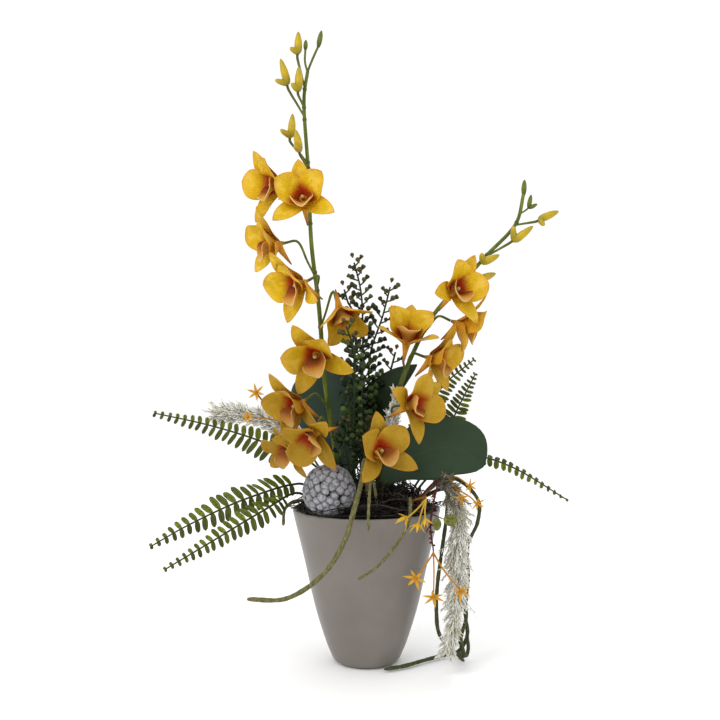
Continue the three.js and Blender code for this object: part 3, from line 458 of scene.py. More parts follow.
def gold_of_petals(tree):
    """Gold along the petal, then mustard patches, painted shade on the lower blooms, an orange edge, the
    red throat, rim and veins.
    """
    across, lengthwise, kind, tone, back = read(tree, "across", "lengthwise", "kind", "tone", "back")
    off_rib = off_middle(across)
    fine = cloud(tree, 1100, 4)
    patches = cloud(tree, 100, 3)
    spread = (across - 0.5) / (lengthwise * 0.7 + 0.3)
    vein = (spread * 60 + patches * 14 + fine * 2).wave() ** 4
    # Painted shade: low is 1 on blooms below 0.2 m and 0 above 0.42 m, for the shade low in the
    # arrangement.
    low = height_on_object(tree).between(0.42, 0.2)
    grainy = lengthwise + (fine - 0.5) * 0.12
    body = ramp(
        grainy,
        (0.0, (206, 104, 20)), (0.16, (238, 166, 8)), (0.34, (248, 198, 6)),
        (0.6, (246, 202, 28)), (0.86, (252, 212, 66)), (1.0, (238, 180, 56)),
    )
    mustard = patches.between(0.38, 0.6) * off_rib.between(0.95, 0.1) * 0.6
    body = paint(
        body,
        (mustard, (210, 176, 12)),
        (patches.between(0.5, 0.32) * 0.5, (255, 218, 104)),
        (tone * 0.2, (240, 168, 40)),
        # painted shade on the lower blooms
        (low * 0.85, (164, 126, 38)),
    )
    edge = off_rib.between(0.5, 1.0) * 0.45 + lengthwise.between(0.78, 1.0) * 0.3
    # The orange edge is weaker where the lower blooms get their painted shade.
    body = mix(edge * (1 - low * 0.4), body, (236, 168, 62))
    throat = grainy.between(0.52, 0.2) * off_rib.between(1.0, 0.55) * kind.equals(PETAL_KIND)
    body = mix(throat * (1 - back), body, (182, 50, 16))
    rim = (off_rib.between(0.92, 1.0) + lengthwise.between(0.97, 1.0)).sum("MINIMUM", 1.0)
    body = mix(rim * 0.7, body, (204, 134, 34))
    body = mix(vein * 0.1 * (1 - rim), body, (188, 132, 26))
    behind = mix(lengthwise.between(0.85, 0.1) * 0.55 + 0.2, body, (222, 144, 22))
    body = mix(back, body, behind)
    lip = ramp(
        lengthwise + (fine - 0.5) * 0.06,
        (0.0, (112, 38, 14)), (0.4, (170, 84, 26)), (0.62, (222, 156, 64)),
        (0.84, (238, 190, 104)), (1.0, (250, 218, 146)),
    )
    lip = paint(
        lip,
        (off_rib.between(0.8, 1.0) * 0.7, (250, 218, 146)),
        # painted shade on the lips of the lower blooms
        (low * 0.5, (170, 122, 62)),
        (vein * lengthwise.between(0.8, 0.2) * 0.8, (140, 50, 24)),
        (back * 0.7, (232, 176, 84)),
    )
    inner = {
        LIP_KIND: lip,
        COLUMN_KIND: ramp(
            lengthwise,
            (0.0, (150, 62, 26)), (0.6, (206, 134, 54)), (0.85, (232, 206, 140)), (1.0, (226, 196, 120)),
        ),
        CUP_KIND: ramp(lengthwise, (0.0, (128, 116, 36)), (0.35, (204, 142, 40)), (1.0, (206, 130, 30))),
        CHIN_KIND: ramp(
            lengthwise,
            (0.0, (226, 158, 36)), (0.5, (224, 160, 58)), (0.8, (192, 124, 44)), (1.0, (126, 74, 32)),
        ),
    }
    body = paint(body, *[(kind.equals(number), shade) for number, shade in inner.items()])
    return {
        "Base Color": body,
        "Roughness": 0.55,
        "Normal": bumps(fine * 0.3 + vein * 0.2 + patches * 3.2, 0.0006),
        "Subsurface Weight": 0.1,
        "Subsurface Radius": (0.004, 0.002, 0.0008),
        "Subsurface Scale": 1.0,
        "Specular IOR Level": 0.1,
    }


finish("petals", gold_of_petals)

# %% Buds and green stems
TIP_KIND, RING_KIND = 2, 3


def yellow_of_buds(tree):
    """Yellow at the hook's end and on the belly, olive at the base and the tip; a dark calyx."""
    lengthwise, kind = read(tree, "lengthwise", "kind")
    wash = cloud(tree, 200, 2)
    skin = ramp(
        lengthwise + (wash - 0.5) * 0.12,
        (0.0, (206, 172, 2)), (0.3, (158, 142, 2)), (0.6, (214, 180, 2)), (1.0, (176, 156, 6)),
    )
    skin = mix(wash.between(0.5, 0.7) * 0.4, skin, (160, 140, 2))
    skin = mix(kind.equals(STALK), skin, (74, 62, 30))
    return {"Base Color": skin, "Roughness": 0.3, "Coat Weight": 0.35, "Coat Roughness": 0.12}


def green_of_stems(tree):
    """Green streaks along the stem with olive blotches; stalks turn brown towards the bloom."""
    lengthwise, kind = read(tree, "lengthwise", "kind")
    streak = cloud(tree, 260, 3, (1, 1, 0.12))
    blotch = cloud(tree, 40, 2)
    green = ramp(streak, (0.25, (62, 80, 14)), (0.5, (98, 114, 26)), (0.8, (134, 146, 50)))
    green = mix(blotch.between(0.5, 0.75) * 0.5, green, (120, 118, 52))
    stalk = mix(lengthwise.between(0.6, 1.0) * 0.7, green, (88, 82, 34))
    tip = ramp(lengthwise, (0.0, (78, 92, 30)), (0.5, (110, 126, 40)), (1.0, (92, 104, 34)))
    green = paint(
        green,
        (kind.equals(STALK), stalk), (kind.equals(TIP_KIND), tip), (kind.equals(RING_KIND), (92, 94, 38)),
    )
    return {"Base Color": green, "Roughness": 0.42, "Normal": bumps(streak, 0.0006)}


finish("buds", yellow_of_buds)
finish("stems", green_of_stems)

# %% [markdown]
# ## Leaf, fern and berry finishes
# The strap leaves are dark and satiny, with a paler rib and fine lengthwise veins. Fern leaflets
# are brighter above than below, and each has its own tone. Berries are dark green at the foot of
# a spray and olive brown towards its tip. Veins are sine waves across the leaf, bent by a soft
# cloud, because lines drawn straight would look printed.


# %% Strap leaves
def green_of_leaves(dark, light, rib):
    """Dark and light patches, with the rib's colour on the rib, the rim and the back."""
    def build(tree):
        across, kind, back = read(tree, "across", "kind", "back")
        off_rib = off_middle(across)
        wash = cloud(tree, 34, 4)
        grain = cloud(tree, 1400, 2)
        vein = (across * 110 + wash * 7 + grain).wave() ** 2
        skin = paint(
            mix(wash.between(0.35, 0.7), dark, light),
            (vein * 0.07, light),
            (off_rib.between(0.05, 0.0) * 0.3, rib),
            (off_rib.between(0.92, 1.0) * 0.3, rib),
            (back * 0.5, rib),
            (kind.equals(STALK), (62, 78, 40)),
        )
        rough, normal = wash * 0.16 + 0.4, bumps(vein * 0.2 + grain * 0.2, 0.0002)
        return {"Base Color": skin, "Roughness": rough, "Normal": normal, "Specular IOR Level": 0.18}

    return build


finish("blue_green_leaf", green_of_leaves((42, 62, 54), (58, 82, 72), (76, 98, 82)))
finish("dark_green_leaf", green_of_leaves((22, 42, 26), (36, 58, 38), (58, 78, 50)))


# %% Fern leaflets
def green_of_ferns(tree):
    """Each leaflet's own green, mottled, paler at its rib and tip and darker below."""
    across, lengthwise, kind, tone, back = read(tree, "across", "lengthwise", "kind", "tone", "back")
    off_rib = off_middle(across)
    wash = cloud(tree, 620, 3)
    green = paint(
        mix(tone, (80, 92, 8), (126, 138, 26)),
        (wash.between(0.47, 0.58) * 0.7, (56, 66, 8)),
        (lengthwise.between(0.82, 1.0) * 0.3, (122, 140, 54)),
        (back * 0.8, mix(tone, (50, 58, 10), (82, 90, 20))),
        (off_rib.between(0.1, 0.0) * 0.3, (128, 146, 66)),
        (kind.equals(STALK), (58, 72, 18)),
    )
    rib = off_rib.between(0.16, 0.0)
    return {"Base Color": green, "Roughness": 0.48, "Normal": bumps(wash * 0.6 - rib, 0.0004)}


finish("ferns", green_of_ferns)


# %% Berries
def green_of_berries(tree):
    """Each berry's own green, olive where `extra` says, with an olive eye; twigs are dark."""
    lengthwise, olive, kind, tone = read(tree, "lengthwise", "extra", "kind", "tone")
    wash = cloud(tree, 320, 3)
    skin = paint(
        mix(tone**3, (14, 34, 14), (78, 106, 44)),
        (olive, (104, 86, 42)),
        (wash.between(0.55, 0.8) * 0.3, (96, 112, 70)),
        (lengthwise.between(0.84, 1.0) * 0.6, (96, 96, 46)),
        (kind.equals(STALK), mix(wash, (24, 42, 20), (56, 74, 30))),
    )
    return {"Base Color": skin, "Roughness": 0.4, "Normal": bumps(wash, 0.0004)}


finish("berries", green_of_berries)

# %% [markdown]
# ## Fibres, ball, roots, stars and twigs
# The white sprays are masses of fine pale needles. The ball's knobs keep their height as the
# extra note, so that shade can be painted dark in the crevices and highlight painted pale on the
# crowns. Roots are striped like bark, and the nest's twigs run from dark brown to grey.

# %% White needles
# Light values, because these are paler than a screen colour can say in this bright studio.
NEEDLE_SHADE, NEEDLE_LIGHT = (0.58, 0.56, 0.44, 1.0), (0.9, 0.9, 0.85, 1.0)
# This one is painted shadow: a dark yellowish colour laid in patches for the shade in the gaps of the
# plume.
NEEDLE_PAINTED_SHADOW = (0.44, 0.4, 0.25, 1.0)


def white_of_needles(tree):
    """Pale by the needle's tone, with painted shadow in patches, duller at its foot and where tone is below
    0.
    """
    lengthwise, kind, tone = read(tree, "lengthwise", "kind", "tone")
    wash = cloud(tree, 150, 2)
    pale = paint(
        mix(tone.between(0.0, 1.0), NEEDLE_SHADE, NEEDLE_LIGHT),
        # painted shadow in patches
        (wash.between(0.48, 0.7) * 0.35, NEEDLE_PAINTED_SHADOW),
        (lengthwise.between(0.3, 0.0) * 0.35, (160, 154, 120)),
        (tone.between(0.0, -1.0), (128, 122, 96)),
        (kind.equals(STALK), (120, 116, 84)),
    )
    return {"Base Color": pale, "Roughness": 0.75, "Sheen Weight": 0.2}


finish("white_fibres", white_of_needles)


# %% The knobbed ball
def grey_of_ball(tree):
    """Black painted shade in the creases and pale grey painted highlight on the crowns, with grit, painted
    shade in the dips between lumps, and pale specks painted as glints.
    """
    (rise,) = read(tree, "extra")
    grit = cloud(tree, 900, 5, roughness=0.75)
    lumps = cloud(tree, 300, 2)
    wash = cloud(tree, 60, 3)
    # Painted shade and highlight: black in the creases, where shade falls, up to pale grey on the crowns,
    # where light falls.
    skin = ramp(
        rise + (grit - 0.5) * 0.7,
        (0.0, (28, 26, 26)), (0.34, (100, 98, 101)), (0.6, (182, 181, 186)), (1.0, (226, 225, 231)),
    )
    # Painted shade where the lumps dip.
    skin = mix(lumps.between(0.5, 0.36) * 0.55, skin, (84, 83, 88))
    skin = mix(wash.between(0.45, 0.7) * 0.3, skin, (120, 120, 126))
    # The pale specks on the crowns are painted glints, and they are less rough too.
    speck = grit.between(0.56, 0.66)
    skin = mix(speck * rise.between(0.1, 0.5) * 0.8, skin, (226, 224, 230))
    normal = bumps(grit + lumps * 1.5, 0.0036)
    return {"Base Color": skin, "Roughness": 0.75 - speck * 0.3, "Normal": normal}


finish("knobbed_ball", grey_of_ball)


# %% Roots and strands
def bark(dark, middle, light):
    """Grain along the root, with brown stripes that follow its own length and girth."""
    def build(tree):
        across, lengthwise = read(tree, "across", "lengthwise")
        along_skin = add(tree, "ShaderNodeCombineXYZ", {}, {0: across, 1: lengthwise * 3})
        flat_noise = {"noise_dimensions": "2D"}
        streak = add(tree, "ShaderNodeTexNoise", flat_noise, {"Vector": along_skin, "Scale": 7.0})
        grain = cloud(tree, 700, 4, (1, 1, 0.3))
        skin = ramp(grain, (0.28, dark), (0.5, middle), (0.75, light))
        skin = mix(streak.between(0.55, 0.7) * 0.55, skin, (96, 66, 40))
        return {"Base Color": skin, "Roughness": 0.7, "Normal": bumps(grain, 0.0012)}

    return build


finish("roots", bark((74, 76, 44), (116, 114, 68), (158, 152, 106)))
finish("strands", bark((44, 54, 32), (74, 84, 50), (106, 108, 70)))

# %% Star flowers, twigs and small leaves
STAR_STEM_KIND = 2


def colour_of_stars(petal, deep):
    """Deep at a petal's foot and tip; the middle and the hair-thin stems are deep all over."""
    def build(tree):
        lengthwise, kind, tone = read(tree, "lengthwise", "kind", "tone")
        skin = paint(
            mix(lengthwise.between(0.0, 0.5), deep, petal),
            (lengthwise.between(0.75, 1.0) * 0.4, deep),
            (tone * 0.3, (204, 140, 30)),
            (kind.equals(STALK), deep),
            (kind.equals(STAR_STEM_KIND), (146, 98, 32)),
        )
        return {"Base Color": skin, "Roughness": 0.6}

    return build


def brown_of_twigs(dark, light):
    """From dark to light by each twig's tone, broken up by grain."""
    def build(tree):
        (tone,) = read(tree, "tone")
        grain = cloud(tree, 500, 4, (1, 1, 0.5))
        skin = mix((tone + (grain - 0.5) * 0.9).between(0.25, 1.1), dark, light)
        return {"Base Color": skin, "Roughness": 0.8, "Normal": bumps(grain, 0.001)}

    return build


def olive_of_small_leaves(tree):
    """Olive patches with a pale rib."""
    (across,) = read(tree, "across")
    wash = cloud(tree, 300, 3)
    skin = mix(wash.between(0.35, 0.7), (88, 92, 34), (132, 134, 60))
    skin = mix(off_middle(across).between(0.12, 0.0) * 0.5, skin, (164, 162, 92))
    return {"Base Color": skin, "Roughness": 0.5, "Normal": bumps(wash, 0.0004)}


finish("yellow_stars", colour_of_stars((238, 192, 52), (206, 166, 56)))
finish("orange_stars", colour_of_stars((230, 172, 48), (202, 138, 34)))
finish("red_twig", brown_of_twigs((76, 34, 34), (124, 66, 58)))
finish("nest_twigs", brown_of_twigs((12, 10, 8), (92, 80, 72)))
finish("small_leaves", olive_of_small_leaves)


# %% Pot glaze and filling
def grey_glaze(tree):
    """Almost even taupe with faint clouds and specks under a thin clear coat."""
    wash = cloud(tree, 18, 3)
    fine = cloud(tree, 500, 3)
    skin = mix(wash.between(0.3, 0.75), (131, 124, 117), (139, 132, 125))
    skin = mix(fine.between(0.55, 0.85) * 0.12, skin, (112, 105, 98))
    rough = wash * 0.1 + 0.33
    return {"Base Color": skin, "Roughness": rough, "Coat Weight": 0.12, "Normal": bumps(fine, 0.00008)}


def brown_of_soil(tree):
    """Coarse dark grit."""
    grit = cloud(tree, 260, 5, roughness=0.7)
    skin = ramp(grit, (0.3, (28, 22, 18)), (0.6, (56, 44, 34)), (0.8, (84, 68, 52)))
    return {"Base Color": skin, "Roughness": 0.95, "Normal": bumps(grit, 0.003)}


finish("pot_glaze", grey_glaze)
finish("filling", brown_of_soil)

# %% [markdown]
# ## Orchid blooms
# A bloom has three sepals behind, two broad petals, a curled lip, a pale column in the throat and
# a pointed chin below. Each petal could be modelled by hand; instead its rib is a curve in the
# plane through the flower's axis, and the petal is that rib widened to both sides, so one
# function makes all six and every bloom keeps the place and facing of its solid.


# %% The frame of a flower and one tepal
SEPAL = {"length": 41, "width": 21, "seat": -6, "lean": 44, "cup": 0.22, "plump": 0.62, "sharp": 0.86}
PETAL = {"length": 36, "width": 32, "seat": -3, "lean": 28, "cup": 0.28, "plump": 0.52, "sharp": 1.16}
LIP = {"length": 25, "width": 24, "seat": -2, "lean": 6, "cup": 0.85, "plump": 0.55, "sharp": 1.2}
SEPAL_TURN, PETAL_TURN, LIP_TURN = 128, 53, 180
SEPAL_FRILL, PETAL_FRILL, LIP_FRILL, LIP_CURL = 0.1, 0.17, 0.24, 0.5
TEPAL_ROOT = 3.2


def flower_frame(face, up):
    """Forward, right and up of a flower that faces `face` with its top sepal towards `up`."""
    forward = unit(face)
    right = unit(np.cross(forward, unit(up)))
    return forward, right, np.cross(right, forward)


def tepal(flower, turn, shape, tip_angle, rows=20, columns=13, frill=0.0, curl=0.0, phase=0.0):
    """One sepal, petal or lip as a grid of points.

    The rib is a bent line from the seat through a knee to the tip, in the plane at `turn` round
    the axis. Across it, the edge lies at half the width times a power of sin(pi * s), rounded
    off at the tip, and rises by cup * distance squared. Frill adds a wave that grows outwards.
    """
    forward, right, up = flower["axes"]
    size = flower["size"]
    turn, lean, tip_angle = np.radians([turn, shape["lean"], tip_angle])
    outward = np.cos(turn) * up + np.sin(turn) * right
    across = np.cross(forward, outward)
    length = shape["length"] * size
    root = np.array([TEPAL_ROOT, shape["seat"]])
    knee = root + 0.45 * length * np.array([np.sin(lean), np.cos(lean)])
    tip = knee + 0.62 * length * np.array([np.sin(tip_angle), np.cos(tip_angle)])
    s = np.linspace(0, 1, rows)[:, None] ** 0.9
    t = np.sin(np.linspace(-1, 1, columns) * np.pi / 2)[None, :]
    rib = (1 - s) ** 2 * root + 2 * s * (1 - s) * knee + s**2 * tip
    run = unit(2 * (1 - s) * (knee - root) + 2 * s * (tip - knee))
    swell = np.sin(np.pi * np.clip(s, 0, 1) ** shape["sharp"]) ** shape["plump"]
    half = 0.5 * shape["width"] * size * (0.12 + 0.88 * swell) * np.sqrt(1 - 0.94 * s**14)
    wave = frill * half * np.abs(t) ** 2.2 * np.sin(8 * s + 2.4 * np.sign(t) + phase)
    rise = shape["cup"] * half * t**2 + wave - curl * half * s**3 * (0.3 + t**2)
    radial = (rib[:, :1] - rise * run[:, 1:])[..., None]
    height = (rib[:, 1:] + rise * run[:, :1])[..., None]
    return flower["at"] + radial * outward + height * forward + (half * t)[..., None] * across


plain_flower = {"at": np.zeros(3), "axes": flower_frame((0, -1, 0), (0, 0, 1)), "size": 1.0}
top_sepal = tepal(plain_flower, 0, SEPAL, 78)
print("a top sepal reaches", round(top_sepal[..., 2].max(), 1), "mm up from the flower's middle")


# %% A whole bloom
BLOOM_BACK = 12
PETAL_THICKNESS, LIP_THICKNESS = 0.7, 1.1


def bloom_parts(flower):
    """All the shapes of one bloom; how far each petal opens and ripples is left to chance."""
    forward, _, up = flower["axes"]
    at, size = flower["at"], flower["size"]
    tone = dice.uniform(0.1, 0.9)
    phases = dice.uniform(0, 6.3, 6)
    opens = flower["opening"] + dice.uniform(-5, 4, 6)
    sepals = [
        tepal(flower, turn, SEPAL, opens[i], frill=SEPAL_FRILL, phase=phases[i])
        for i, turn in enumerate((0, SEPAL_TURN, -SEPAL_TURN))
    ]
    petals = [
        tepal(flower, turn, PETAL, opens[i] - 12, 24, 19, frill=PETAL_FRILL, phase=phases[i])
        for i, turn in enumerate((PETAL_TURN, -PETAL_TURN), 3)
    ]
    lip = tepal(flower, LIP_TURN, LIP, 50, 26, 23, frill=LIP_FRILL, curl=LIP_CURL, phase=phases[5])
    share = np.linspace(0, 1, 9)[:, None]
    column = at - 2 * forward + share * size * (9.5 * forward + 1.8 * up * share)
    column_radii = size * np.array([1.5, 1.6, 1.6, 1.6, 1.7, 1.9, 2.1, 1.8, 0.7])
    cup = at + forward * np.array([-BLOOM_BACK, -9, -6, -3, 0, 1])[:, None]
    chin_tip = at - 23 * size * up - 15 * size * forward
    chin = smooth([at - 3 * forward, at - 9 * size * up - 7 * size * forward, chin_tip], 10)
    return [
        blades(sepals, PETAL_THICKNESS, SEPAL_KIND, tone),
        blades(petals, PETAL_THICKNESS, PETAL_KIND, tone),
        blades([lip], LIP_THICKNESS, LIP_KIND, tone),
        rods([column], column_radii, 10, COLUMN_KIND, tone),
        rods([cup], [1.5, 2.2, 3.2, 4.3, 5.2, 4.6], 12, CUP_KIND, tone),
        rods([chin], np.linspace(4.8, 0.6, 10), 12, CHIN_KIND, tone),
    ]


def bloom(at, face, up, joint, size=1.0, opening=78):
    """A bloom's place, the frame it faces in, its stalk's joint on the stem, its size and opening."""
    axes = flower_frame(face, up)
    return {"at": np.array(at, float), "axes": axes, "joint": joint, "size": size, "opening": opening}


lip_rib = tepal(plain_flower, LIP_TURN, LIP, 50)[:, 6]
print("a lip is", round(length_of(lip_rib), 1), "mm long over its bend")

# %% Where the blooms are, and where their stalks leave the stem
BLOOMS = {
    "left": [
        bloom((-98, -10, 512), (-0.77, -0.63, -0.12), (-0.3, 0.2, 0.93), (-64, 2, 533), 1.05),
        bloom((-66, -42, 492), (-0.1, -0.95, 0.25), (-0.1, 0.3, 0.95), (-62, 2, 476)),
        bloom((-99, -8, 450), (-0.9, -0.42, -0.17), (-0.15, -0.1, 0.98), (-57, 2, 418), 1.05),
        bloom((-70, -38, 404), (-0.7, -0.58, -0.4), (-0.5, 0, 0.87), (-54, 2, 398), 1.08),
        bloom((-28, -24, 376), (0.3, -0.4, -0.85), (0, 0.9, -0.4), (-50, 2, 360), 1, 58),
        bloom((-52, -44, 330), (-0.2, -0.87, -0.43), (-0.47, -0.3, 0.83), (-48, 2, 334), 1.08),
        bloom((-72, -31, 278), (-0.65, -0.6, -0.4), (-0.5, -0.1, 0.87), (-39, 3, 272), 1.08),
        bloom((-55, -67, 249), (-0.3, -0.7, -0.63), (-0.93, 0.36, 0.1), (-36, 3, 244)),
        bloom((-81, -31, 230), (-0.65, -0.6, -0.45), (-0.3, -0.5, 0.8), (-33, 4, 216), 0.85),
    ],
    "right": [
        bloom((92, -38, 398), (0.57, -0.8, 0.1), (0.34, 0.33, 0.88), (88, 0, 392)),
        bloom((102, -12, 363), (0.93, -0.1, -0.35), (0.35, -0.1, 0.9), (62, 0, 354)),
        bloom((43, -22, 347), (0.13, -0.5, 0.85), (0.1, 0.85, 0.5), (42, 0, 312), 1.05, 60),
        bloom((71, -29, 326), (0.84, -0.5, -0.22), (0.3, 0.1, 0.95), (37, 2, 298)),
        bloom((46, -55, 279), (0.67, -0.73, 0.1), (0.6, 0.62, 0.5), (26, 4, 262)),
        bloom((13, -64, 231), (0.45, -0.87, 0.2), (-0.23, 0.12, 0.97), (19, 6, 222)),
    ],
}
for side, blooms in BLOOMS.items():
    for number, flower in enumerate(blooms, 1):
        piece(f"bloom_{side}_{number}", bloom_parts(flower), "petals")

# %% [markdown]
# ## Buds and stems
# A bud is a plump body with a hook at its base: one rod bent like a J, which starts at the
# hook's end, turns at the base and swells and narrows again up to the tip. It could be two
# shapes, but then a seam would show where they meet. The stems are rods too, thinner towards
# the top, with a small ring where each flower stalk leaves.

# %% Buds
BUDS = {
    "left": [
        {"base": (-86, -2, 623), "tip": (-93, -6, 651), "hook": (-99, -6, 628), "joint": (-67.5, 2, 590)},
        {"base": (-74, -8, 614), "tip": (-73, -10, 641), "hook": (-81, -12, 623), "joint": (-68, 2, 600)},
        {"base": (-83, -2, 566), "tip": (-80, -4, 592), "hook": (-93, -8, 574), "joint": (-64.5, 2, 540)},
        {"base": (-72, -12, 548), "tip": (-76, -14, 572), "hook": (-77, -20, 554), "joint": (-64, 2, 534)},
        {"base": (-75, -1, 657), "tip": (-74, -1, 682), "hook": (-83, -4, 664), "joint": (-67.5, 2, 622)},
    ],
    "right": [
        {"base": (186, -4, 476), "tip": (208, -6, 486), "hook": (192, -9, 470), "joint": (163, 0, 472)},
        {"base": (157, -10, 453), "tip": (179, -13, 469), "hook": (158, -13, 469), "joint": (131, 0, 438)},
        {"base": (123, -9, 430), "tip": (143, -12, 438), "hook": (124, -14, 440), "joint": (111, 0, 417)},
        {"base": (122, 7, 412), "tip": (142, 8, 420), "hook": (128, 10, 407), "joint": (107, 0, 412)},
    ],
}
BUD_PLACES = (0, 0.12, 0.27, 0.48, 0.68, 0.88, 1)
BUD_RADII = (2.5, 3.0, 3.6, 4.4, 4.1, 2.6, 1.6)


def bud_parts(bud):
    """One rod bent like a J from the hook's end through the base to the tip, and a small calyx.

    The radius is read off BUD_RADII along the rod, times sqrt(1.02 - |2 * share - 1|^9), which
    rounds off both ends.
    """
    base, tip, hook = (np.array(bud[name], float) for name in ("base", "tip", "hook"))
    axis = unit(tip - base)
    bulge = hook - base - ((hook - base) @ axis) * axis
    belly = 0.5 * (base + tip) - 0.05 * bulge
    bend = smooth([hook, 0.5 * (hook + base) + 0.8 * axis, base + 3.4 * axis, belly, tip], 30)
    share = np.linspace(0, 1, 30)
    radii = np.interp(share, BUD_PLACES, BUD_RADII) * np.sqrt(1.02 - np.abs(2 * share - 1) ** 9)
    calyx = base + np.linspace(-0.2, 3, 5)[:, None] * axis
    return [rods([bend], radii, 14), rods([calyx], [1.2, 1.9, 2.4, 2.5, 1.6], 10, STALK)]


for side, buds in BUDS.items():
    for number, bud in enumerate(buds, 1):
        piece(f"bud_{side}_{number}", bud_parts(bud), "buds")

# %% Stems with their flower stalks
STEMS = {
    "left": [
        (-24, 4, 116), (-29.4, 4, 186), (-34, 4, 226), (-45, 3, 299), (-52, 2, 385), (-60, 2, 452),
        (-63, 2, 526), (-68, 2, 611), (-64, 2, 640),
    ],
    "right": [
        (12, 6, 116), (14.4, 6, 186), (19, 6, 225), (29, 3, 271), (47, 0, 324), (73, 0, 374),
        (101, 0, 406), (131, 0, 439), (163, 0, 474), (171, 0, 506),
    ],
}
STEM_RADIUS, STEM_TOP_RADIUS, STALK_RADIUS = 2.8, 1.9, 1.1
BLOOM_SLACK, BUD_SLACK, MOST_SLACK = 0.5, 0.08, 14
STALK_GAP = 0.3


def stalk(joint, end, forward, slack):
    """A stalk from the stem to a flower's back: it rises first, then arrives along `forward`."""
    start = np.array(joint, float)
    middle = end - forward * min(slack * np.linalg.norm(end - start), MOST_SLACK)
    return smooth([start, start + 0.4 * (middle - start), middle, end], 18)


def stem_parts(points, blooms, buds, tips):
    """The main stem, its stalks, its green tips, and a ring 1.22 times as thick at each joint."""
    line = planted(points, 70)
    radii = np.append(STEM_RADIUS, np.linspace(STEM_RADIUS, STEM_TOP_RADIUS, 70))
    ends = []
    for flower in blooms:
        forward = flower["axes"][0]
        back = flower["at"] - forward * (BLOOM_BACK + STALK_GAP)
        ends.append((flower["joint"], back, forward, BLOOM_SLACK))
    for bud in buds:
        base = np.array(bud["base"], float)
        axis = unit(np.array(bud["tip"], float) - base)
        ends.append((bud["joint"], base - STALK_GAP * axis, axis, BUD_SLACK))
    near = [np.argmin(np.linalg.norm(line - np.array(end[0]), axis=1)) for end in ends]
    way = unit(np.array(points[-1], float) - np.array(points[1], float))
    rings = line[near][:, None] + np.array([-2.2, -0.8, 0.8, 2.2])[:, None] * way
    return [
        rods([line], radii, 14),
        rods([stalk(*end) for end in ends], STALK_RADIUS * np.linspace(1, 1.4, 18), 8, STALK),
        rods(rings, radii[near][:, None] * [0.9, 1.22, 1.22, 0.9], 12, RING_KIND),
        *tips,
    ]


def side_shoot(points, count, radius):
    """A thin green shoot along a smooth line."""
    return rods([smooth(points, count)], radius)


def tip_bud(base, tip, radius):
    """A small pointed bud that grew as one with the stem's tip."""
    radii = radius * np.array([0.55, 0.85, 1, 1, 0.9, 0.7, 0.25])
    return rods([np.linspace(base, tip, 7)], radii, 8, TIP_KIND)


TIPS = {
    "left": [
        side_shoot([(-64, 2, 638), (-67, 2, 650), (-66.5, 2, 664)], 8, 1.2),
        tip_bud((-66.5, 2, 663), (-66, 2, 674), 2.4),
        side_shoot([(-65, 2, 637), (-60, 2, 650), (-52, 2, 668)], 8, 1.3),
        tip_bud((-52.5, 2, 666), (-49, 2, 684), 2.9),
    ],
    "right": [
        tip_bud((171, 0, 504), (172, 0, 521), 2.9),
        side_shoot([(167, 0, 484), (172, -2, 487), (176, -4, 490)], 6, 1.0),
        tip_bud((175.5, -4, 489.5), (178.5, -4, 504), 2.5),
        tip_bud((176, -4, 489.5), (185, -4, 494), 2.3),
    ],
}
for side, points in STEMS.items():
    parts = stem_parts(points, BLOOMS[side], BUDS[side], TIPS[side])
    piece(f"orchid_stem_{side}", parts, "stems")

# %% [markdown]
# ## Strap leaves
# Each leaf is a broad blade on a stalk. A flat cut-out that is bent afterwards would stretch, so
# the leaf is worked out bent: its rib is a smooth line, its outline a smooth curve through a few
# half widths, and its edges rise from the rib, so it is folded a little like a real one.


# %% Leaves
LEAF_THICKNESS = 1.0
LEAF_ROWS, LEAF_COLUMNS = 34, 17


def leaf_parts(points, half_widths, facing, fold, stalk_end, ripple=0.02):
    """rib(s) + half(s) * t * across + fold * half * t^2 * lift.

    A faint ripple is added at the edge, and a fine groove is taken out along the rib.
    """
    whole = smooth(points, 200)
    line, way = along(whole, np.linspace(stalk_end, 1, LEAF_ROWS))
    across = unit(np.cross(way, unit(facing)))
    lift = np.cross(across, way)
    places = np.linspace(0, 1, len(half_widths))
    outline = smooth(np.stack([places, half_widths, places * 0], 1) * [100, 1, 0], 200)
    half = np.interp(np.linspace(0, 100, LEAF_ROWS), outline[:, 0], outline[:, 1])
    half = half * np.sqrt(1 - 0.97 * np.linspace(0, 1, LEAF_ROWS) ** 18)
    t = np.linspace(-1, 1, LEAF_COLUMNS)
    s = np.linspace(0, 1, LEAF_ROWS)[:, None]
    wave = ripple * np.sin(7 * s + 3 * np.sign(t)) * t**4
    width = half[:, None] * t
    rise = half[:, None] * (fold * t**2 + wave - 0.03 * np.exp(-((t / 0.08) ** 2)))
    grid = line[:, None] + width[..., None] * across[:, None] + rise[..., None] * lift[:, None]
    petiole = planted([points[0], points[1], along(whole, [stalk_end + 0.04])[0][0]], 14)
    radii = np.append(2.4, np.linspace(2.4, 1.2, 14))
    return [blades([grid], LEAF_THICKNESS), rods([petiole], radii, 10, STALK)]


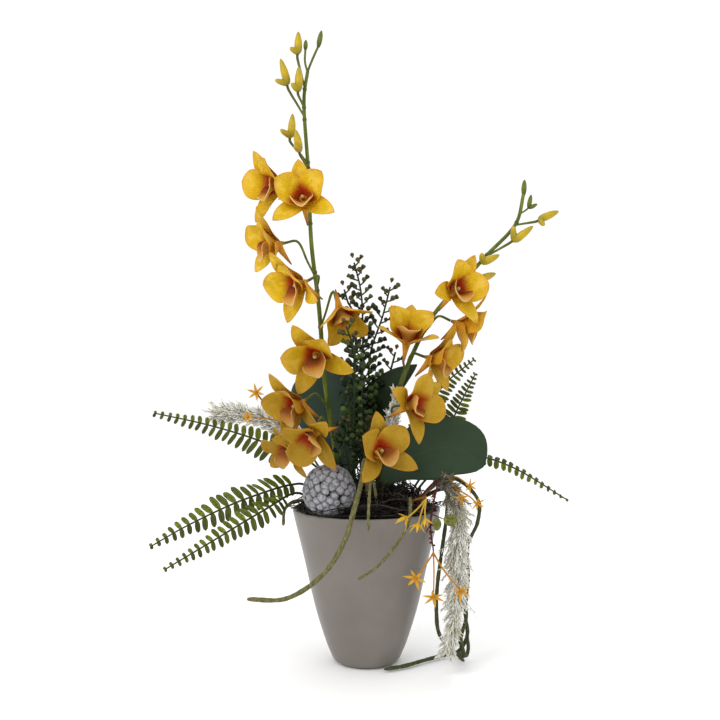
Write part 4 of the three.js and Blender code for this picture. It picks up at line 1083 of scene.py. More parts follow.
LEAVES = {
    "leaf_back": (
        [(-14, 40, 116), (-18, 42, 176), (-32, 44, 240), (-46, 43, 290), (-52, 38, 324)],
        (3, 16, 28, 37, 41, 37, 12), (0, -1, 0.1), 0.12, 0.33,
    ),
    "leaf_folded": (
        [(6, 28, 116), (5, 30, 182), (2, 28, 235), (9, 24, 276), (32, 18, 300), (56, 14, 320)],
        (3, 12, 17, 18, 15, 4), (0.1, -1, 0.75), 0.3, 0.32,
    ),
    "leaf_front": (
        [(12, -22, 116), (14, -26, 184), (32, -31, 211), (62, -34, 229), (96, -35, 232), (124, -32, 214)],
        (3, 14, 26, 32, 32, 27, 13), (0.05, -1, 0.15), 0.15, 0.37,
    ),
}
for name, leaf in LEAVES.items():
    shade = "blue_green" if name == "leaf_back" else "dark_green"
    piece(name, leaf_parts(*leaf), f"{shade}_leaf")

# %% [markdown]
# ## Fern fronds
# A frond is a thin rib with a row of small oblong leaflets on each side. In the solids the whole
# frond is one blade with its outline cut; here each leaflet is its own cupped blade, a little
# turned and shaded by chance, so that the frond looks grown.


# %% Fronds
LEAFLET_THICKNESS = 0.6
LEAST_HALF_LEAFLET = 2.5


def frond_parts(points, pairs, upper, lower, facing, start, taper):
    """Leaflets leave the rib at even steps: root + reach * s * run + half(s) * t * wide.

    Each is cupped across, by 0.22 * half * t^2, and droops along, by 0.1 * reach * s^2.
    """
    whole = smooth(points, 300)
    share = (np.arange(pairs) + 0.5) / pairs
    root, way = along(whole, start + (1 - start) * share)
    out = unit(np.cross(unit(facing), way))
    front = unit(np.cross(way, out))
    step = (1 - start) * length_of(whole) / pairs
    grow = np.minimum(1, np.minimum(0.75 + 1.8 * share, 0.18 + taper * (1 - share)))
    s = np.linspace(0, 1, 9)[None, :, None, None]
    t = np.linspace(-1, 1, 5)[None, None, :, None]
    round_off = (0.3 + 0.7 * np.clip(s / 0.3, 0, 1) ** 0.7) * np.sqrt(1 - 0.95 * s**6)
    grids = []
    for sign, reach in ((-1, upper), (1, lower)):
        reach = (reach * grow * dice.uniform(0.9, 1.05, pairs))[:, None, None, None]
        lean = dice.uniform(0.22, 0.44, pairs)[:, None]
        droop = dice.uniform(-0.3, 0.12, pairs)[:, None]
        run = unit(sign * out + lean * way + droop * front)[:, None, None]
        wide = unit(np.cross(front, run[:, 0, 0]))[:, None, None] * -sign
        wide = unit(wide + dice.uniform(-0.3, 0.3, pairs)[:, None, None, None] * front[:, None, None])
        half = max(0.39 * step, LEAST_HALF_LEAFLET) * round_off * (0.4 + 0.6 * reach / np.max(reach))
        bend = front[:, None, None] * (0.22 * half * t**2 - 0.1 * reach * s**2)
        grids.append(root[:, None, None] + reach * s * run + half * t * wide + bend)
    grids = np.concatenate(grids)
    tone = dice.uniform(0, 1, len(grids))
    rib = planted([*points[:2], *along(whole, np.linspace(0.32, 0.99, 12))[0]], 60)
    radii = np.append(1.4, np.linspace(1.4, 0.75, 60))
    return [blades(grids, LEAFLET_THICKNESS, MAIN, tone), rods([rib], radii, 8, STALK)]


FRONDS = {
    "fern_left_upper": (
        [(-32, 22, 116), (-36, 24, 180), (-64, 31, 211), (-123, 36, 235), (-180, 38, 252), (-241, 32, 266)],
        20, 16, 22, (0, -1, 0.25), 0.42, 1.0,
    ),
    "fern_left_middle": (
        [
            (-44, 8, 116), (-50, 6, 172), (-66, -6, 190), (-119, -52, 184), (-181, -72, 158),
            (-220, -76, 136),
        ],
        20, 19, 16, (-0.1, -1, 0.5), 0.37, 1.75,
    ),
    "fern_left_lower": (
        [
            (-46, -8, 116), (-54, -10, 170), (-72, -26, 184), (-105, -74, 173), (-155, -94, 145),
            (-200, -102, 119),
        ],
        20, 15, 15, (-0.1, -1, 0.4), 0.42, 1.3,
    ),
    "fern_right_low": (
        [(44, 10, 116), (50, 11, 172), (81, 14, 206), (114, 16, 219), (156, 14, 209), (223, 6, 170)],
        18, 11, 8, (0, -0.9, 0.9), 0.45, 1.3,
    ),
    "fern_right_back": (
        [(34, 34, 116), (40, 38, 178), (61, 50, 244), (86, 58, 292), (127, 64, 327)],
        22, 16, 16, (0, -1, 0.2), 0.45, 1.7,
    ),
    "fern_right_front": (
        [(46, 26, 116), (52, 28, 178), (84, 36, 222), (100, 40, 262), (125, 44, 311)],
        22, 15, 16, (0.1, -1, 0.2), 0.45, 1.7,
    ),
}
for name, frond in FRONDS.items():
    piece(name, frond_parts(*frond), "ferns")

# %% [markdown]
# ## Berry sprays
# Each spray is a few twigs from one foot. Short side twigs leave every twig to the left and
# right in turn, a little forwards or back by chance, and each carries two drop-shaped berries,
# smaller and browner near the tip. A berry is a short rod whose thickness swells like a drop,
# because hundreds of them have to stay light.


# %% Berries on side twigs
BERRY_SIZE = 3.3
DROP_PLACES = np.array([-0.8, -0.3, 0.3, 0.9, 1.4, 1.75, 1.8])
DROP_RADII = np.array([0.22, 0.34, 0.62, 0.92, 1.0, 0.78, 0.3])


def berry_parts(foot, twigs, reach):
    """Side twig: root + far * (s * out + 0.75 * s^1.4 * way); a berry at its end and one at 0.66."""
    parts = [rods([planted(foot, 6)], 1.7, 8, STALK)]
    for points, count in twigs:
        whole = smooth(points, 120)
        share = ((np.arange(count) + 0.5) / count) ** 1.15
        root, way = along(whole, 0.25 + 0.72 * share)
        side = unit(np.cross(way, (0, 1, 0)))
        depth = np.cross(side, way)
        turn = np.arange(count) * np.pi + dice.uniform(-0.9, 0.9, count)
        out = np.cos(turn)[:, None] * side + 0.9 * np.sin(turn)[:, None] * depth
        far = (reach * (1 - 0.45 * share) * dice.uniform(0.75, 1.05, count))[:, None]
        s = np.linspace(0, 1, 5)[None, :, None]
        side_twigs = root[:, None] + far[:, None] * (s * out[:, None] + 0.75 * s**1.4 * way[:, None])
        parts.append(rods([whole[::4]], np.linspace(1.6, 1.1, 30), 6, STALK))
        parts.append(rods(side_twigs, np.linspace(1.0, 0.75, 5), 5, STALK))
        for place, tilt in ((1.0, 0.0), (0.66, 1.3)):
            base = root + far * (place * out + 0.75 * place**1.4 * way)
            axis = np.cos(tilt) * out + np.sin(tilt) * unit(np.cross(out, way))
            axis = unit(axis + 0.9 * way)
            size = (1.08 - 0.2 * share) * dice.uniform(0.8, 1.12, count) * BERRY_SIZE
            line = base[:, None] + (DROP_PLACES[None, :, None] * size[:, None, None]) * axis[:, None]
            olive = np.clip((share - 0.62) * 2.2, 0, 1) * dice.uniform(0.3, 1, count)
            parts.append(rods(line, size[:, None] * DROP_RADII, 7, MAIN, dice.uniform(0, 1, count), olive))
        end = whole[-1] + np.linspace(-1, 5, 6)[:, None] * unit(whole[-1] - whole[-4])
        parts.append(rods([end], [0.6, 1.1, 2.0, 2.5, 2.1, 0.4], 7, MAIN, 0.6, 0.8))
    return parts


BERRY_SPRAYS = {
    "berry_spray_back": (
        [(-4, 12, 116), (-4, 12, 190)],
        [
            ([(-4, 12, 186), (-5, 10, 250), (-4, 8, 330), (-4, 8, 362), (-6, 8, 400), (-15, 8, 438)], 38),
            ([(-4, 12, 188), (-14, 22, 300), (-12, 22, 374), (-20, 22, 388), (-26, 22, 409)], 26),
            ([(-4, 12, 186), (2, 20, 290), (5, 24, 334), (18, 24, 373), (28, 22, 412)], 30),
            ([(-4, 12, 186), (10, 24, 250), (24, 34, 300), (34, 36, 338)], 17),
        ],
        15,
    ),
    "berry_spray_front": (
        [(-12, -18, 116), (-12, -18, 190)],
        [
            ([(-12, -18, 186), (-14, -26, 240), (-13, -46, 300), (-13, -50, 335), (-23, -52, 364)], 26),
            ([(-12, -18, 186), (-22, -26, 226), (-24, -30, 262)], 12),
            ([(-12, -18, 186), (0, -26, 226), (2, -30, 262)], 12),
        ],
        12,
    ),
}
for name, spray in BERRY_SPRAYS.items():
    piece(name, berry_parts(*spray), "berries")

# %% [markdown]
# ## White sprays
# These are plumes: hundreds of short sprigs stand round a slim stem, and every sprig carries a
# row of fine needles to both sides. A plume could be one pale solid with a rough finish, but
# its soft outline comes from the single needles, so each is a rod of three sides.


# %% Sprigs and their needles
GOLDEN_ANGLE = 2.39996


def on_sprig(s, root, reach, out, swerve):
    """The point at the share s of a sprig: root + reach * (s * out + 0.16 * s^2 * swerve)."""
    return root + reach * (s * out + 0.16 * s**2 * swerve)


def sprig_parts(points, start, count, length, spread, needle, each, fullness, fade=0.0):
    """A plume's stem, its sprigs round it, and the needles that leave them to both sides.

    The reach of a sprig is the length times `fullness`, which is read off evenly along the stem. Up to the
    share `fade` of the stem the needles are still dull.
    """
    whole = smooth(points, 200)
    share = np.sort(dice.uniform(0, 1, count))
    root, way = along(whole, start + (0.995 - start) * share)
    side = unit(np.cross(way, (0, 1, 0.01)))
    depth = np.cross(side, way)
    turn = np.arange(count) * GOLDEN_ANGLE + dice.uniform(0, 1, count)
    out = np.cos(turn)[:, None] * side + 0.8 * np.sin(turn)[:, None] * depth
    out = unit(spread * dice.uniform(0.4, 1.1, count)[:, None] * out + way)
    swerve = np.clip(dice.normal(0, 1, (count, 3)), -1.1, 1.1)
    full = np.interp(share, np.linspace(0, 1, len(fullness)), fullness)
    reach = (length * full * dice.uniform(0.6, 1.0, count))[:, None]
    sprig = (root, reach, out, swerve)
    sprigs = on_sprig(np.linspace(0, 1, 6)[None, :, None], *[array[:, None] for array in sprig])
    owner = np.repeat(np.arange(count), each)
    place = (np.tile(np.arange(each), count) + 0.5) / each
    base = on_sprig(place[:, None], *[array[owner] for array in sprig])
    lean = unit(np.cross(out, dice.normal(0, 1, (count, 3))))[owner]
    sign = np.where(np.arange(len(owner)) % 2, 1.0, -1.0)[:, None]
    needle_way = unit(out[owner] + 0.5 * sign * lean + 0.12 * dice.normal(0, 1, (len(owner), 3)))
    needle_reach = (needle * (1.1 - 0.4 * place) * dice.uniform(0.75, 1.15, len(owner)))[:, None, None]
    needles = base[:, None] + needle_reach * np.linspace(0, 1, 3)[None, :, None] * needle_way[:, None]
    tone = np.clip(dice.uniform(0.1, 1, count)[owner] + dice.normal(0, 0.15, len(owner)), 0, 1)
    tone = tone - 2 * np.clip(1 - share[owner] / max(fade, 0.01), 0, 1)
    return [
        rods([planted(points, 60)], np.append(1.5, np.linspace(1.4, 0.8, 60)), 6, STALK),
        rods(sprigs, np.linspace(0.4, 0.2, 6), 3, STALK),
        rods(needles, [0.5, 0.72, 0.12], 3, MAIN, tone),
    ]


WHITE_SPRAYS = {
    "white_spray_left": (
        [(-34, 44, 116), (-42, 48, 182), (-72, 56, 226), (-110, 62, 254), (-140, 64, 262), (-170, 64, 262)],
        0.5, 200, 20, 0.9, 9, 11, (1, 1, 1, 0.9),
    ),
    "white_spray_trailing": (
        [
            (52, -16, 116), (60, -20, 180), (80, -40, 196), (92, -54, 172), (93, -56, 110), (90, -54, 60),
            (84, -50, 24),
        ],
        0.3, 320, 25, 0.92, 7.5, 13, (0.6, 0.85, 1, 1.05, 1.1, 0.8, 0.45, 0.55), 0.3,
    ),
    "white_spray_back": (
        [(28, 10, 116), (27, 8, 186), (29, -12, 262), (34, -17, 290)],
        0.7, 60, 12, 0.9, 6, 12, (1, 1),
    ),
}
for name, spray in WHITE_SPRAYS.items():
    piece(name, sprig_parts(*spray), "white_fibres")

# %% [markdown]
# ## Aerial roots and strands
# Roots hang over the rim like thin bark-covered cords, with swellings and small kinks. They are
# rods whose thickness wavers, by a few sine waves added up so that it never repeats. The right
# strand has two further loops that leave it, hang beside it and join it near the ground.


# %% Roots and strands
def root_parts(points, radius, taper, rings):
    """Thickness: radius, falling to taper times it, times one plus three small sine waves."""
    line = planted(points, rings)
    share = np.linspace(0, 1, rings + 1)
    far = share * rings * 0.35
    waver = 0.05 * np.sin(far * 1.7) + 0.05 * np.sin(far * 0.63 + 1) + 0.04 * np.sin(far * 4.1)
    radii = radius * (1 + (taper - 1) * share) * (0.97 + waver)
    radii[-3:] *= [0.9, 0.75, 0.4]
    radii[0] = radius * 0.9
    return [rods([line], radii, 14)]


ROOTS = {
    "root_long": (
        [
            (4, -38, 116), (2, -42, 180), (-2, -50, 221), (-5, -66, 204), (-12, -88, 180), (-22, -97, 148),
            (-44, -93, 113), (-80, -94, 90), (-118, -96, 90),
        ],
        2.9, 0.8, 150,
    ),
    "root_straight": (
        [(12, -42, 116), (10, -50, 180), (5, -66, 206), (2, -86, 186), (1, -91, 156)],
        1.7, 0.9, 80,
    ),
    "root_short": (
        [(40, -36, 116), (44, -46, 178), (44, -66, 183), (40, -88, 160), (11, -88, 121), (-9, -86, 107)],
        1.9, 0.7, 90,
    ),
    "root_left": (
        [(-54, -2, 116), (-62, -3, 170), (-76, -10, 173), (-87, -16, 166), (-89, -18, 148)],
        1.9, 0.9, 60,
    ),
}
STRANDS = {
    "strand_right": (
        [
            (54, 0, 116), (60, -2, 176), (92, -10, 198), (119, -16, 176), (119, -16, 152), (108, -16, 126),
            (109, -16, 96), (106, -12, 56), (109, -4, 26), (100, 6, 6), (84, 2, 3.2), (62, -14, 3),
            (40, -32, 3), (18, -43, 3),
        ],
        2.1, 1, 220,
    ),
    "strand_inner": (
        [
            (52, -10, 116), (60, -13, 176), (84, -28, 188), (84, -36, 166), (79, -38, 128), (74, -38, 90),
            (73, -38, 60), (76, -36, 38), (90, -28, 18), (104, -20, 4),
        ],
        2.1, 1, 160,
    ),
}
RIGHT_LOOPS = [
    [
        (108, -16, 104), (103, -20, 74), (98, -24, 46), (101, -22, 18), (107, -14, 8), (110, -7, 14),
        (109, -4, 25),
    ],
    [(104, -19, 78), (106, -22, 52), (100, -26, 30), (104, -20, 11), (103, -6, 5), (100, 6, 6)],
]
LOOP_RADIUS = 2.0
for name, root in ROOTS.items():
    piece(name, root_parts(*root), "roots")
for name, strand in STRANDS.items():
    parts = root_parts(*strand)
    if name == "strand_right":
        parts.append(rods([smooth(loop, 50) for loop in RIGHT_LOOPS], LOOP_RADIUS, 12))
    piece(name, parts, "strands")

# %% [markdown]
# ## Star flowers
# Small flowers with six slim petals hang on hair-thin stems. Each petal is a narrow blade that
# starts at the middle, swells and comes to a point, cupped forward with the flower. The orchid
# petal's function has a seat and a knee that such a slip of a petal doesn't need.


# %% Star sprays
STAR_THICKNESS = 0.5
STAR_SLIMNESS = 0.125


def star_flower(at, face, radius, closed=0.3, petals=6):
    """Petal point: middle + reach * s * out + bend * reach * s^1.6 * forward + half(s) * t * across."""
    forward, right, up = flower_frame(np.array(face, float), (0.1, 0.2, 1))
    turn = np.arange(petals) * 2 * np.pi / petals + 0.3
    out = (np.cos(turn)[:, None] * up + np.sin(turn)[:, None] * right)[:, None, None]
    across = np.cross(out, forward)
    s = np.linspace(0, 1, 8)[None, :, None, None]
    t = np.linspace(-1, 1, 5)[None, None, :, None]
    reach = radius * dice.uniform(0.86, 1.0, petals)[:, None, None, None] / np.sqrt(1 + closed**2)
    bend = closed * dice.uniform(0.4, 1.5, petals)[:, None, None, None]
    half = STAR_SLIMNESS * radius * (0.2 + 0.8 * np.sin(np.pi * s**0.7)) * (1 - 0.8 * s**6)
    lift = forward * (bend * reach * s**1.6 + 0.35 * half * t**2)
    grids = np.array(at, float) + reach * s * out + half * t * across + lift
    middle = np.array(at, float) + forward * np.linspace(-1.3, 2.4, 6)[:, None]
    return [
        blades(grids, STAR_THICKNESS, MAIN, dice.uniform(0, 1, petals)),
        rods([middle], [0.9, 1.6, 1.7, 1.5, 1.1, 0.4], 8, STALK),
    ]


def star_parts(feet, stems, stars):
    """Planted feet, hair-thin stems from knot to flower, and the flowers."""
    foot_radii = np.append(1.3, np.linspace(1.25, 0.95, 40))
    parts = [rods([planted(foot, 40)], foot_radii, 8, STAR_STEM_KIND) for foot in feet]
    parts += [rods([smooth(stem, 14)], np.linspace(0.95, 0.75, 14), 6, STALK) for stem in stems]
    return parts + [shape for star in stars for shape in star_flower(*star)]


STAR_SPRAYS = {
    "star_spray_front": (
        [[(34, -44, 116), (46, -60, 180), (59, -84, 189)]],
        [
            [(59, -84, 187), (50, -90, 178), (38, -94, 168)],
            [(59, -84, 187), (54, -92, 176), (50, -98, 163)],
            [(59, -84, 187), (57, -92, 176), (57, -98, 168)],
        ],
        [
            ((39, -93, 170), (-0.7, -0.3, -0.6), 14, 1.1),
            ((50, -97, 164.5), (-0.2, -0.3, -0.9), 14, 1.1),
            ((57, -97, 169), (0.1, -0.3, -0.9), 12, 1.1),
        ],
    ),
    "star_spray_hanging": (
        [],
        [
            [(67, -72, 130.5), (60, -80, 122), (49, -88, 110)],
            [(67, -72, 130.5), (67, -80, 112), (66, -86, 93)],
            [(67, -72, 130.5), (76, -80, 116), (92, -84, 97)],
            [(67, -72, 132.6), (67, -72, 131), (67, -72.6, 129)],
        ],
        [
            ((48, -89, 109), (-0.3, -0.9, -0.3), 13.5),
            ((66, -87, 90), (0, -0.9, -0.5), 13.5),
            ((93, -85, 95), (0.3, -0.8, -0.5), 13.5),
        ],
    ),
    "star_spray_right": (
        [[(46, -24, 116), (58, -31, 178), (80, -44, 205), (96, -60, 187)]],
        [
            [(80, -44, 205), (94, -42, 203), (106, -42, 195)],
            [(90, -52, 193), (104, -58, 186), (112, -58, 179)],
        ],
        [
            ((107, -42, 194), (0.5, -0.8, -0.2), 9.6),
            ((97, -59, 184), (0, -0.8, -0.6), 10.8),
            ((113, -58, 178), (0.4, -0.8, -0.4), 9.6),
        ],
    ),
    "star_spray_left": (
        [[(-24, 30, 116), (-30, 34, 182), (-70, 28, 240), (-104, 18, 268), (-121, 12, 288)]],
        [[(-88, 24, 256), (-112, 20, 260), (-130, 18, 262)]],
        [((-121, 11, 289), (-0.2, -0.9, 0.3), 12), ((-131, 18, 262), (-0.4, -0.9, 0), 9.6)],
    ),
}
for name, spray in STAR_SPRAYS.items():
    shade = "yellow" if name == "star_spray_front" else "orange"
    piece(name, star_parts(*spray), f"{shade}_stars")

# %% [markdown]
# ## Red twig and small leaves
# A red-brown twig arches over the rim and hangs down, knobbed like a twig in bud, with one round
# and one drop-shaped leaf. The knobs are short rods, because a bump in the finish wouldn't show
# in the outline.

# %% Red twig
RED_TWIG = [
    (44, -28, 116), (54, -40, 178), (72, -62, 202), (68, -70, 184), (64, -74, 160), (67, -72, 132.8),
]
SPURS = [
    [(64, -72, 170), (70, -76, 168), (76, -78, 166)],
    [(64, -73, 158), (61, -75, 155), (60, -76, 152)],
]
KNOBS = 14
KNOB_RADII = 1.2 * np.array([0.3, 0.8, 1.0, 0.8, 0.3])


def red_twig_parts():
    """A bent rod with spurs, and small knobs that sit on it at uneven steps."""
    line = planted(RED_TWIG, 60)
    places, ways = along(line[20:], dice.uniform(0.2, 0.98, KNOBS))
    outward = unit(np.cross(ways, dice.normal(0, 1, (KNOBS, 3))))
    knobs = places[:, None] + outward[:, None] * np.linspace(0.4, 3.2, 5)[None, :, None]
    return [
        rods([line], np.append(1.1, np.linspace(1.1, 0.8, 60)), 10, MAIN, 0.4),
        rods([smooth(spur, 8) for spur in SPURS], np.linspace(0.8, 0.6, 8), 8, MAIN, 0.5),
        rods(knobs, KNOB_RADII, 7, MAIN, dice.uniform(0.2, 1, KNOBS)),
    ]


piece("red_twig", red_twig_parts(), "red_twig")


# %% Its two leaves
SMALL_LEAF_THICKNESS = 0.7


def small_leaf(top, bottom, width, facing):
    """rib(s) + half(s) * t * across, a little cupped, with half a power of sin(pi * s)."""
    top, bottom = np.array(top, float), np.array(bottom, float)
    run = bottom - top
    across = unit(np.cross(run, unit(facing)))
    lift = np.cross(across, unit(run))
    s = np.linspace(0, 1, 16)[:, None, None]
    t = np.linspace(-1, 1, 9)[None, :, None]
    half = 0.5 * width * (0.08 + 0.92 * np.sin(np.pi * s) ** 0.6)
    grid = top + s * run + half * t * across + 0.12 * half * t**2 * lift
    return [blades([grid], SMALL_LEAF_THICKNESS)]


SMALL_LEAVES = {
    "small_leaf_round": ((76.5, -78.1, 165.8), (90.5, -80, 163.5), 12, (0, -1, 0.1)),
    "small_leaf_drop": ((70.2, -76.1, 166.85), (70, -79, 154), 9, (0, -1, 0)),
}
for name, leaf in SMALL_LEAVES.items():
    piece(name, small_leaf(*leaf), "small_leaves")

# %% [markdown]
# ## The knobbed ball
# The ball is packed with round knobs like a bramble fruit. Modelling each knob would waste faces
# where they meet; instead a fine ball is pushed out towards its nearest knob's middle, following
# a quarter circle, so the knobs meet in sharp creases.

# %% Ball
BALL_CENTRE = np.array((-39, -46, 189.3))
BALL_RADIUS = 28.5
KNOB_COUNT, KNOB_SPACING = 150, 1.36
CREASE_SHARE, RELIEF_SHARE = 0.875, 0.11


def knobbed_ball(rings=148, spokes=240):
    """Radius: the ball's times (0.875 + 0.11 * rise), where rise is 0 in a crease and 1 on a crown.

    Rise is sqrt(1 - (distance to the nearest knob / its size)^2) to the power 0.7, lowered where
    the second nearest knob is almost as near. The knobs' middles lie on a golden spiral, and
    a slow wave of about one part in a hundred keeps the ball from being perfectly round.
    """
    height = 1 - 2 * (np.arange(KNOB_COUNT) + 0.5) / KNOB_COUNT
    turn = np.arange(KNOB_COUNT) * GOLDEN_ANGLE
    flat = np.sqrt(1 - height**2)
    middles = np.stack([flat * np.cos(turn), flat * np.sin(turn), height], 1)
    middles = unit(middles + dice.normal(0, 0.045, (KNOB_COUNT, 3)))
    grown = dice.normal(0, 0.012, KNOB_COUNT)
    polar = np.linspace(0, np.pi, rings + 2)[1:-1, None]
    round_turn = np.arange(spokes)[None, :] * 2 * np.pi / spokes
    x, y = np.sin(polar) * np.cos(round_turn), np.sin(polar) * np.sin(round_turn)
    skin = np.stack([x, y, np.cos(polar) + 0 * round_turn], -1)
    way = np.vstack([skin.reshape(-1, 3), [[0, 0, 1], [0, 0, -1]]])
    near = np.sort(np.arccos(np.clip(way @ middles.T, -1, 1)) - grown, axis=1)[:, :2] + 0.02
    size = KNOB_SPACING * np.sqrt(4 / KNOB_COUNT)
    dome = np.sqrt(np.clip(1 - (np.maximum(near[:, 0], 0) / size) ** 2, 0, 1))
    crease = np.clip((near[:, 1] - near[:, 0]) / (0.3 * size), 0, 1)
    rise = dome**0.7 * (0.4 + 0.6 * crease**0.5)
    wobble = 1 + 0.012 * np.sin(5 * way[:, 0] + 2) * np.sin(6 * way[:, 2])
    reach = BALL_RADIUS * (CREASE_SHARE + RELIEF_SHARE * rise) * wobble
    at = BALL_CENTRE + way * reach[:, None]
    # The rings run from the top down, so the tube's faces are turned round to point outwards.
    faces = [np.roll(corners[:, ::-1], 1, axis=1) for corners in tube_faces(rings, spokes)]
    return [family(at[None], faces, way[:, 0], way[:, 2], extra=rise)]


piece("berry_ball", knobbed_ball(), "knobbed_ball")

# %% [markdown]
# ## Nest, filling and pot
# The nest is a low mound with hundreds of loose twigs lying over it. The pot is a profile turned
# round an axis, the way it was thrown or cast, with a rounded foot and rim. The filling below the
# nest is never seen from outside, so its solid is kept and only gets a finish.


# %% Turned shapes
def turned(profile, spokes, wobble=None):
    """A profile of (radius, height) turned round Z; each end closes on the axis."""
    profile = np.asarray(profile, float)
    turn = np.arange(spokes) * 2 * np.pi / spokes
    radius, height = profile[:, :1], profile[:, 1:]
    skin = np.stack([radius * np.cos(turn), radius * np.sin(turn), height + 0 * turn], -1)
    if wobble is not None:
        skin = wobble(skin)
    rings = len(profile)
    ends = [[0, 0, skin[0, :, 2].mean()], [0, 0, skin[-1, :, 2].mean()]]
    at = np.vstack([skin.reshape(-1, 3), ends])
    share = np.append(np.repeat(np.linspace(0, 1, rings), spokes), [0, 1])
    return family(at[None], tube_faces(rings, spokes), 0, share)


def rounded(profile, count):
    """Even steps along a smooth line through the profile's points."""
    return smooth(np.insert(np.asarray(profile, float), 1, 0, axis=1), count)[:, [0, 2]]


print("points of a turned ring of 8:", len(turned([(1, 0), (1, 1)], 8)["at"]))

# %% Pot, and the filling's finish
FLOOR_IN_POT = (29, 8)
FOOT_MIDDLE = (23, 0.6)
FOOT_EDGE = [(25, 0.3), (30, 0), (34, 1.2), (37, 4.5)]
OUTER_WALL = [(37, 4.5), (42.4, 17), (49.2, 37), (56, 60), (68.5, 115), (77, 150), (80, 163)]
RIM_EDGE = [(80, 163), (79.4, 164.6), (77.6, 165), (76, 164.5), (75, 162.6)]
INNER_WALL = [(75, 162.6), (63.5, 115), (51, 60), (37, 17)]
stretches = [rounded(FOOT_EDGE, 10)]
stretches += [rounded(*stretch)[1:] for stretch in ((OUTER_WALL, 60), (RIM_EDGE, 12), (INNER_WALL, 30))]
pot_profile = np.vstack([[FOOT_MIDDLE], *stretches, [FLOOR_IN_POT]])
piece("pot", [turned(pot_profile, 144)], "pot_glaze")
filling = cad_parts["filling"].data.materials
filling.clear()
filling.append(finishes["filling"])


# %% Nest of loose twigs
MOUND_EDGE, MOUND_MIDDLE, MOUND_FOOT, MOUND_RADIUS = 154, 182, 150.3, 69
BALL_HOLLOW = 30


def mound_height(distance):
    """From 154 at the wall to 182 in the middle, by a power of a quarter cosine."""
    slope = np.cos(np.minimum(distance / 72, 1) * 0.5 * np.pi)
    return MOUND_EDGE + (MOUND_MIDDLE - MOUND_EDGE) * slope**0.8


def rough_top(skin):
    """Lumps on the mound's top: its height plus 1.3 times two products and sums of sine waves."""
    x, y = skin[..., 0], skin[..., 1]
    lumps = np.sin(x * 0.31 + 1) * np.sin(y * 0.27) + 0.6 * np.sin(x * 0.7 + y * 0.55)
    skin[..., 2] += np.where(skin[..., 2] > 151, 1.3 * lumps - 1.5, 0)
    return skin


def nest_parts(count=1150):
    """A rough mound, and twigs that wander over it: angle and distance change along each.

    The last two fifths of the twigs are loose: they arch higher and may reach past the rim.
    """
    distance = np.linspace(MOUND_RADIUS, 3, 22)
    top = np.stack([distance, mound_height(distance)], 1)
    mound = turned(np.vstack([[(3, MOUND_FOOT)], [(MOUND_RADIUS, MOUND_FOOT)], top]), 72, rough_top)
    one_each = (count, 1)
    s = np.linspace(0, 1, 9)[None, :]
    loose = (np.arange(count) > 0.6 * count)[:, None]
    turn = dice.uniform(0, 2 * np.pi, one_each) + dice.normal(0, 0.8, one_each) * s
    near = 66 * np.sqrt(dice.uniform(0.02, 1, one_each))
    far = np.clip(near + dice.normal(8, 20, one_each), 6, np.where(loose, 84, 74))
    reach = near + (far - near) * s
    bend = dice.normal(0, 2.2, one_each) * np.sin(np.pi * s)
    bend = bend + dice.normal(0, 0.8, one_each) * np.sin(3 * np.pi * s)
    stand = np.abs(dice.normal(0, np.where(loose, 10, 3), one_each))
    arch = np.where(loose, dice.uniform(0, 17, one_each), 0) * np.sin(np.pi * s)
    rise = stand * s**1.5 + arch + dice.uniform(0.2, 2.6, one_each) + np.abs(bend)
    above_rim = MOUND_EDGE + 13.5 * np.clip((reach - 66) / 6, 0, 1)
    height = np.maximum(mound_height(reach) + rise, above_rim)
    lines = np.stack([reach * np.cos(turn), reach * np.sin(turn), height], -1)
    ball = lines - BALL_CENTRE
    gap = np.linalg.norm(ball, axis=-1, keepdims=True)
    lines = np.where(gap < BALL_HOLLOW, BALL_CENTRE + ball / gap * BALL_HOLLOW, lines)
    radii = dice.uniform(0.35, 1.15, one_each) * (1 - 0.45 * s)
    return [mound, rods(lines, radii, 4, MAIN, dice.uniform(0, 1, count) ** 1.3)]


piece("twig_nest", nest_parts(), "nest_twigs")
print("pieces:", len(made), "triangles in all:", sum(made.values()))

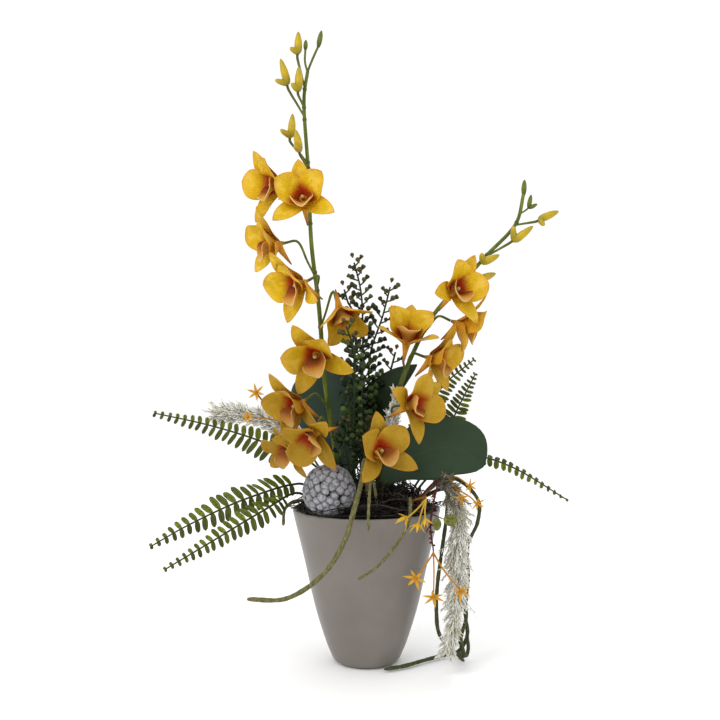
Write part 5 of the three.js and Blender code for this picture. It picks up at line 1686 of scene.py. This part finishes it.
# %% [markdown]
# ## Floor, light and camera
# The arrangement stands on a wide pale floor under a pale even sky, both so bright that no
# horizon shows. A broad light above and to the left gives the pot its soft bright side, and a
# weaker one fills from the right. The camera stands level, a metre in front. A photo studio
# would use a curved backdrop, but a view from behind would show that one's back.


# %% Stage
FLOOR_RADIUS = 30000


def white_of_floor(tree):
    """Two near whites, as light values, in faint clouds."""
    pale = mix(cloud(tree, 3, 2), (0.95, 0.95, 0.95, 1.0), (0.97, 0.97, 0.97, 1.0))
    return {"Base Color": pale, "Roughness": 0.9}


finish("floor", white_of_floor)
sheet = turned([(FLOOR_RADIUS, -4), (FLOOR_RADIUS, -1)], 64)
mesh = bpy.data.meshes.new("floor")
mesh.from_pydata((sheet["at"] * 0.001).tolist(), [], sheet["quads"].tolist() + sheet["triangles"].tolist())
mesh.materials.append(finishes["floor"])
put_in_scene("floor", mesh)


# %% Lights and camera
def area_light(name, place, target, size, power):
    """A square light of `size` metres at `place` that points at `target`."""
    light = bpy.data.lights.new(name, "AREA")
    light.shape, light.size, light.energy = "SQUARE", size, power
    lamp = put_in_scene(name, light)
    lamp.location = place
    lamp.rotation_euler = (Vector(target) - Vector(place)).to_track_quat("-Z", "Y").to_euler()
    print(name, "gives", power, "watts from", place)


area_light("key_light", (-1.3, -1.5, 1.7), (0, 0, 0.3), 1.4, 20)
area_light("fill_light", (1.6, -1.3, 0.9), (0, 0, 0.25), 1.6, 4)
area_light("back_light", (0.4, 1.4, 1.9), (0, 0, 0.4), 1.5, 6)
world = bpy.data.worlds.new("studio")
world.use_nodes = True
sky = world.node_tree.nodes["Background"].inputs
sky[0].default_value, sky[1].default_value = (1, 1, 1, 1), 1.06
scene = bpy.context.scene
scene.world = world
scene.view_settings.view_transform = "Standard"
camera = bpy.data.cameras.new("camera")
camera.sensor_width, camera.lens = 36.0, 45.5
eye = put_in_scene("camera", camera)
eye.location = (-0.007, -0.990, 0.325)
eye.rotation_euler = (np.pi / 2, 0, 0)
scene.camera = eye
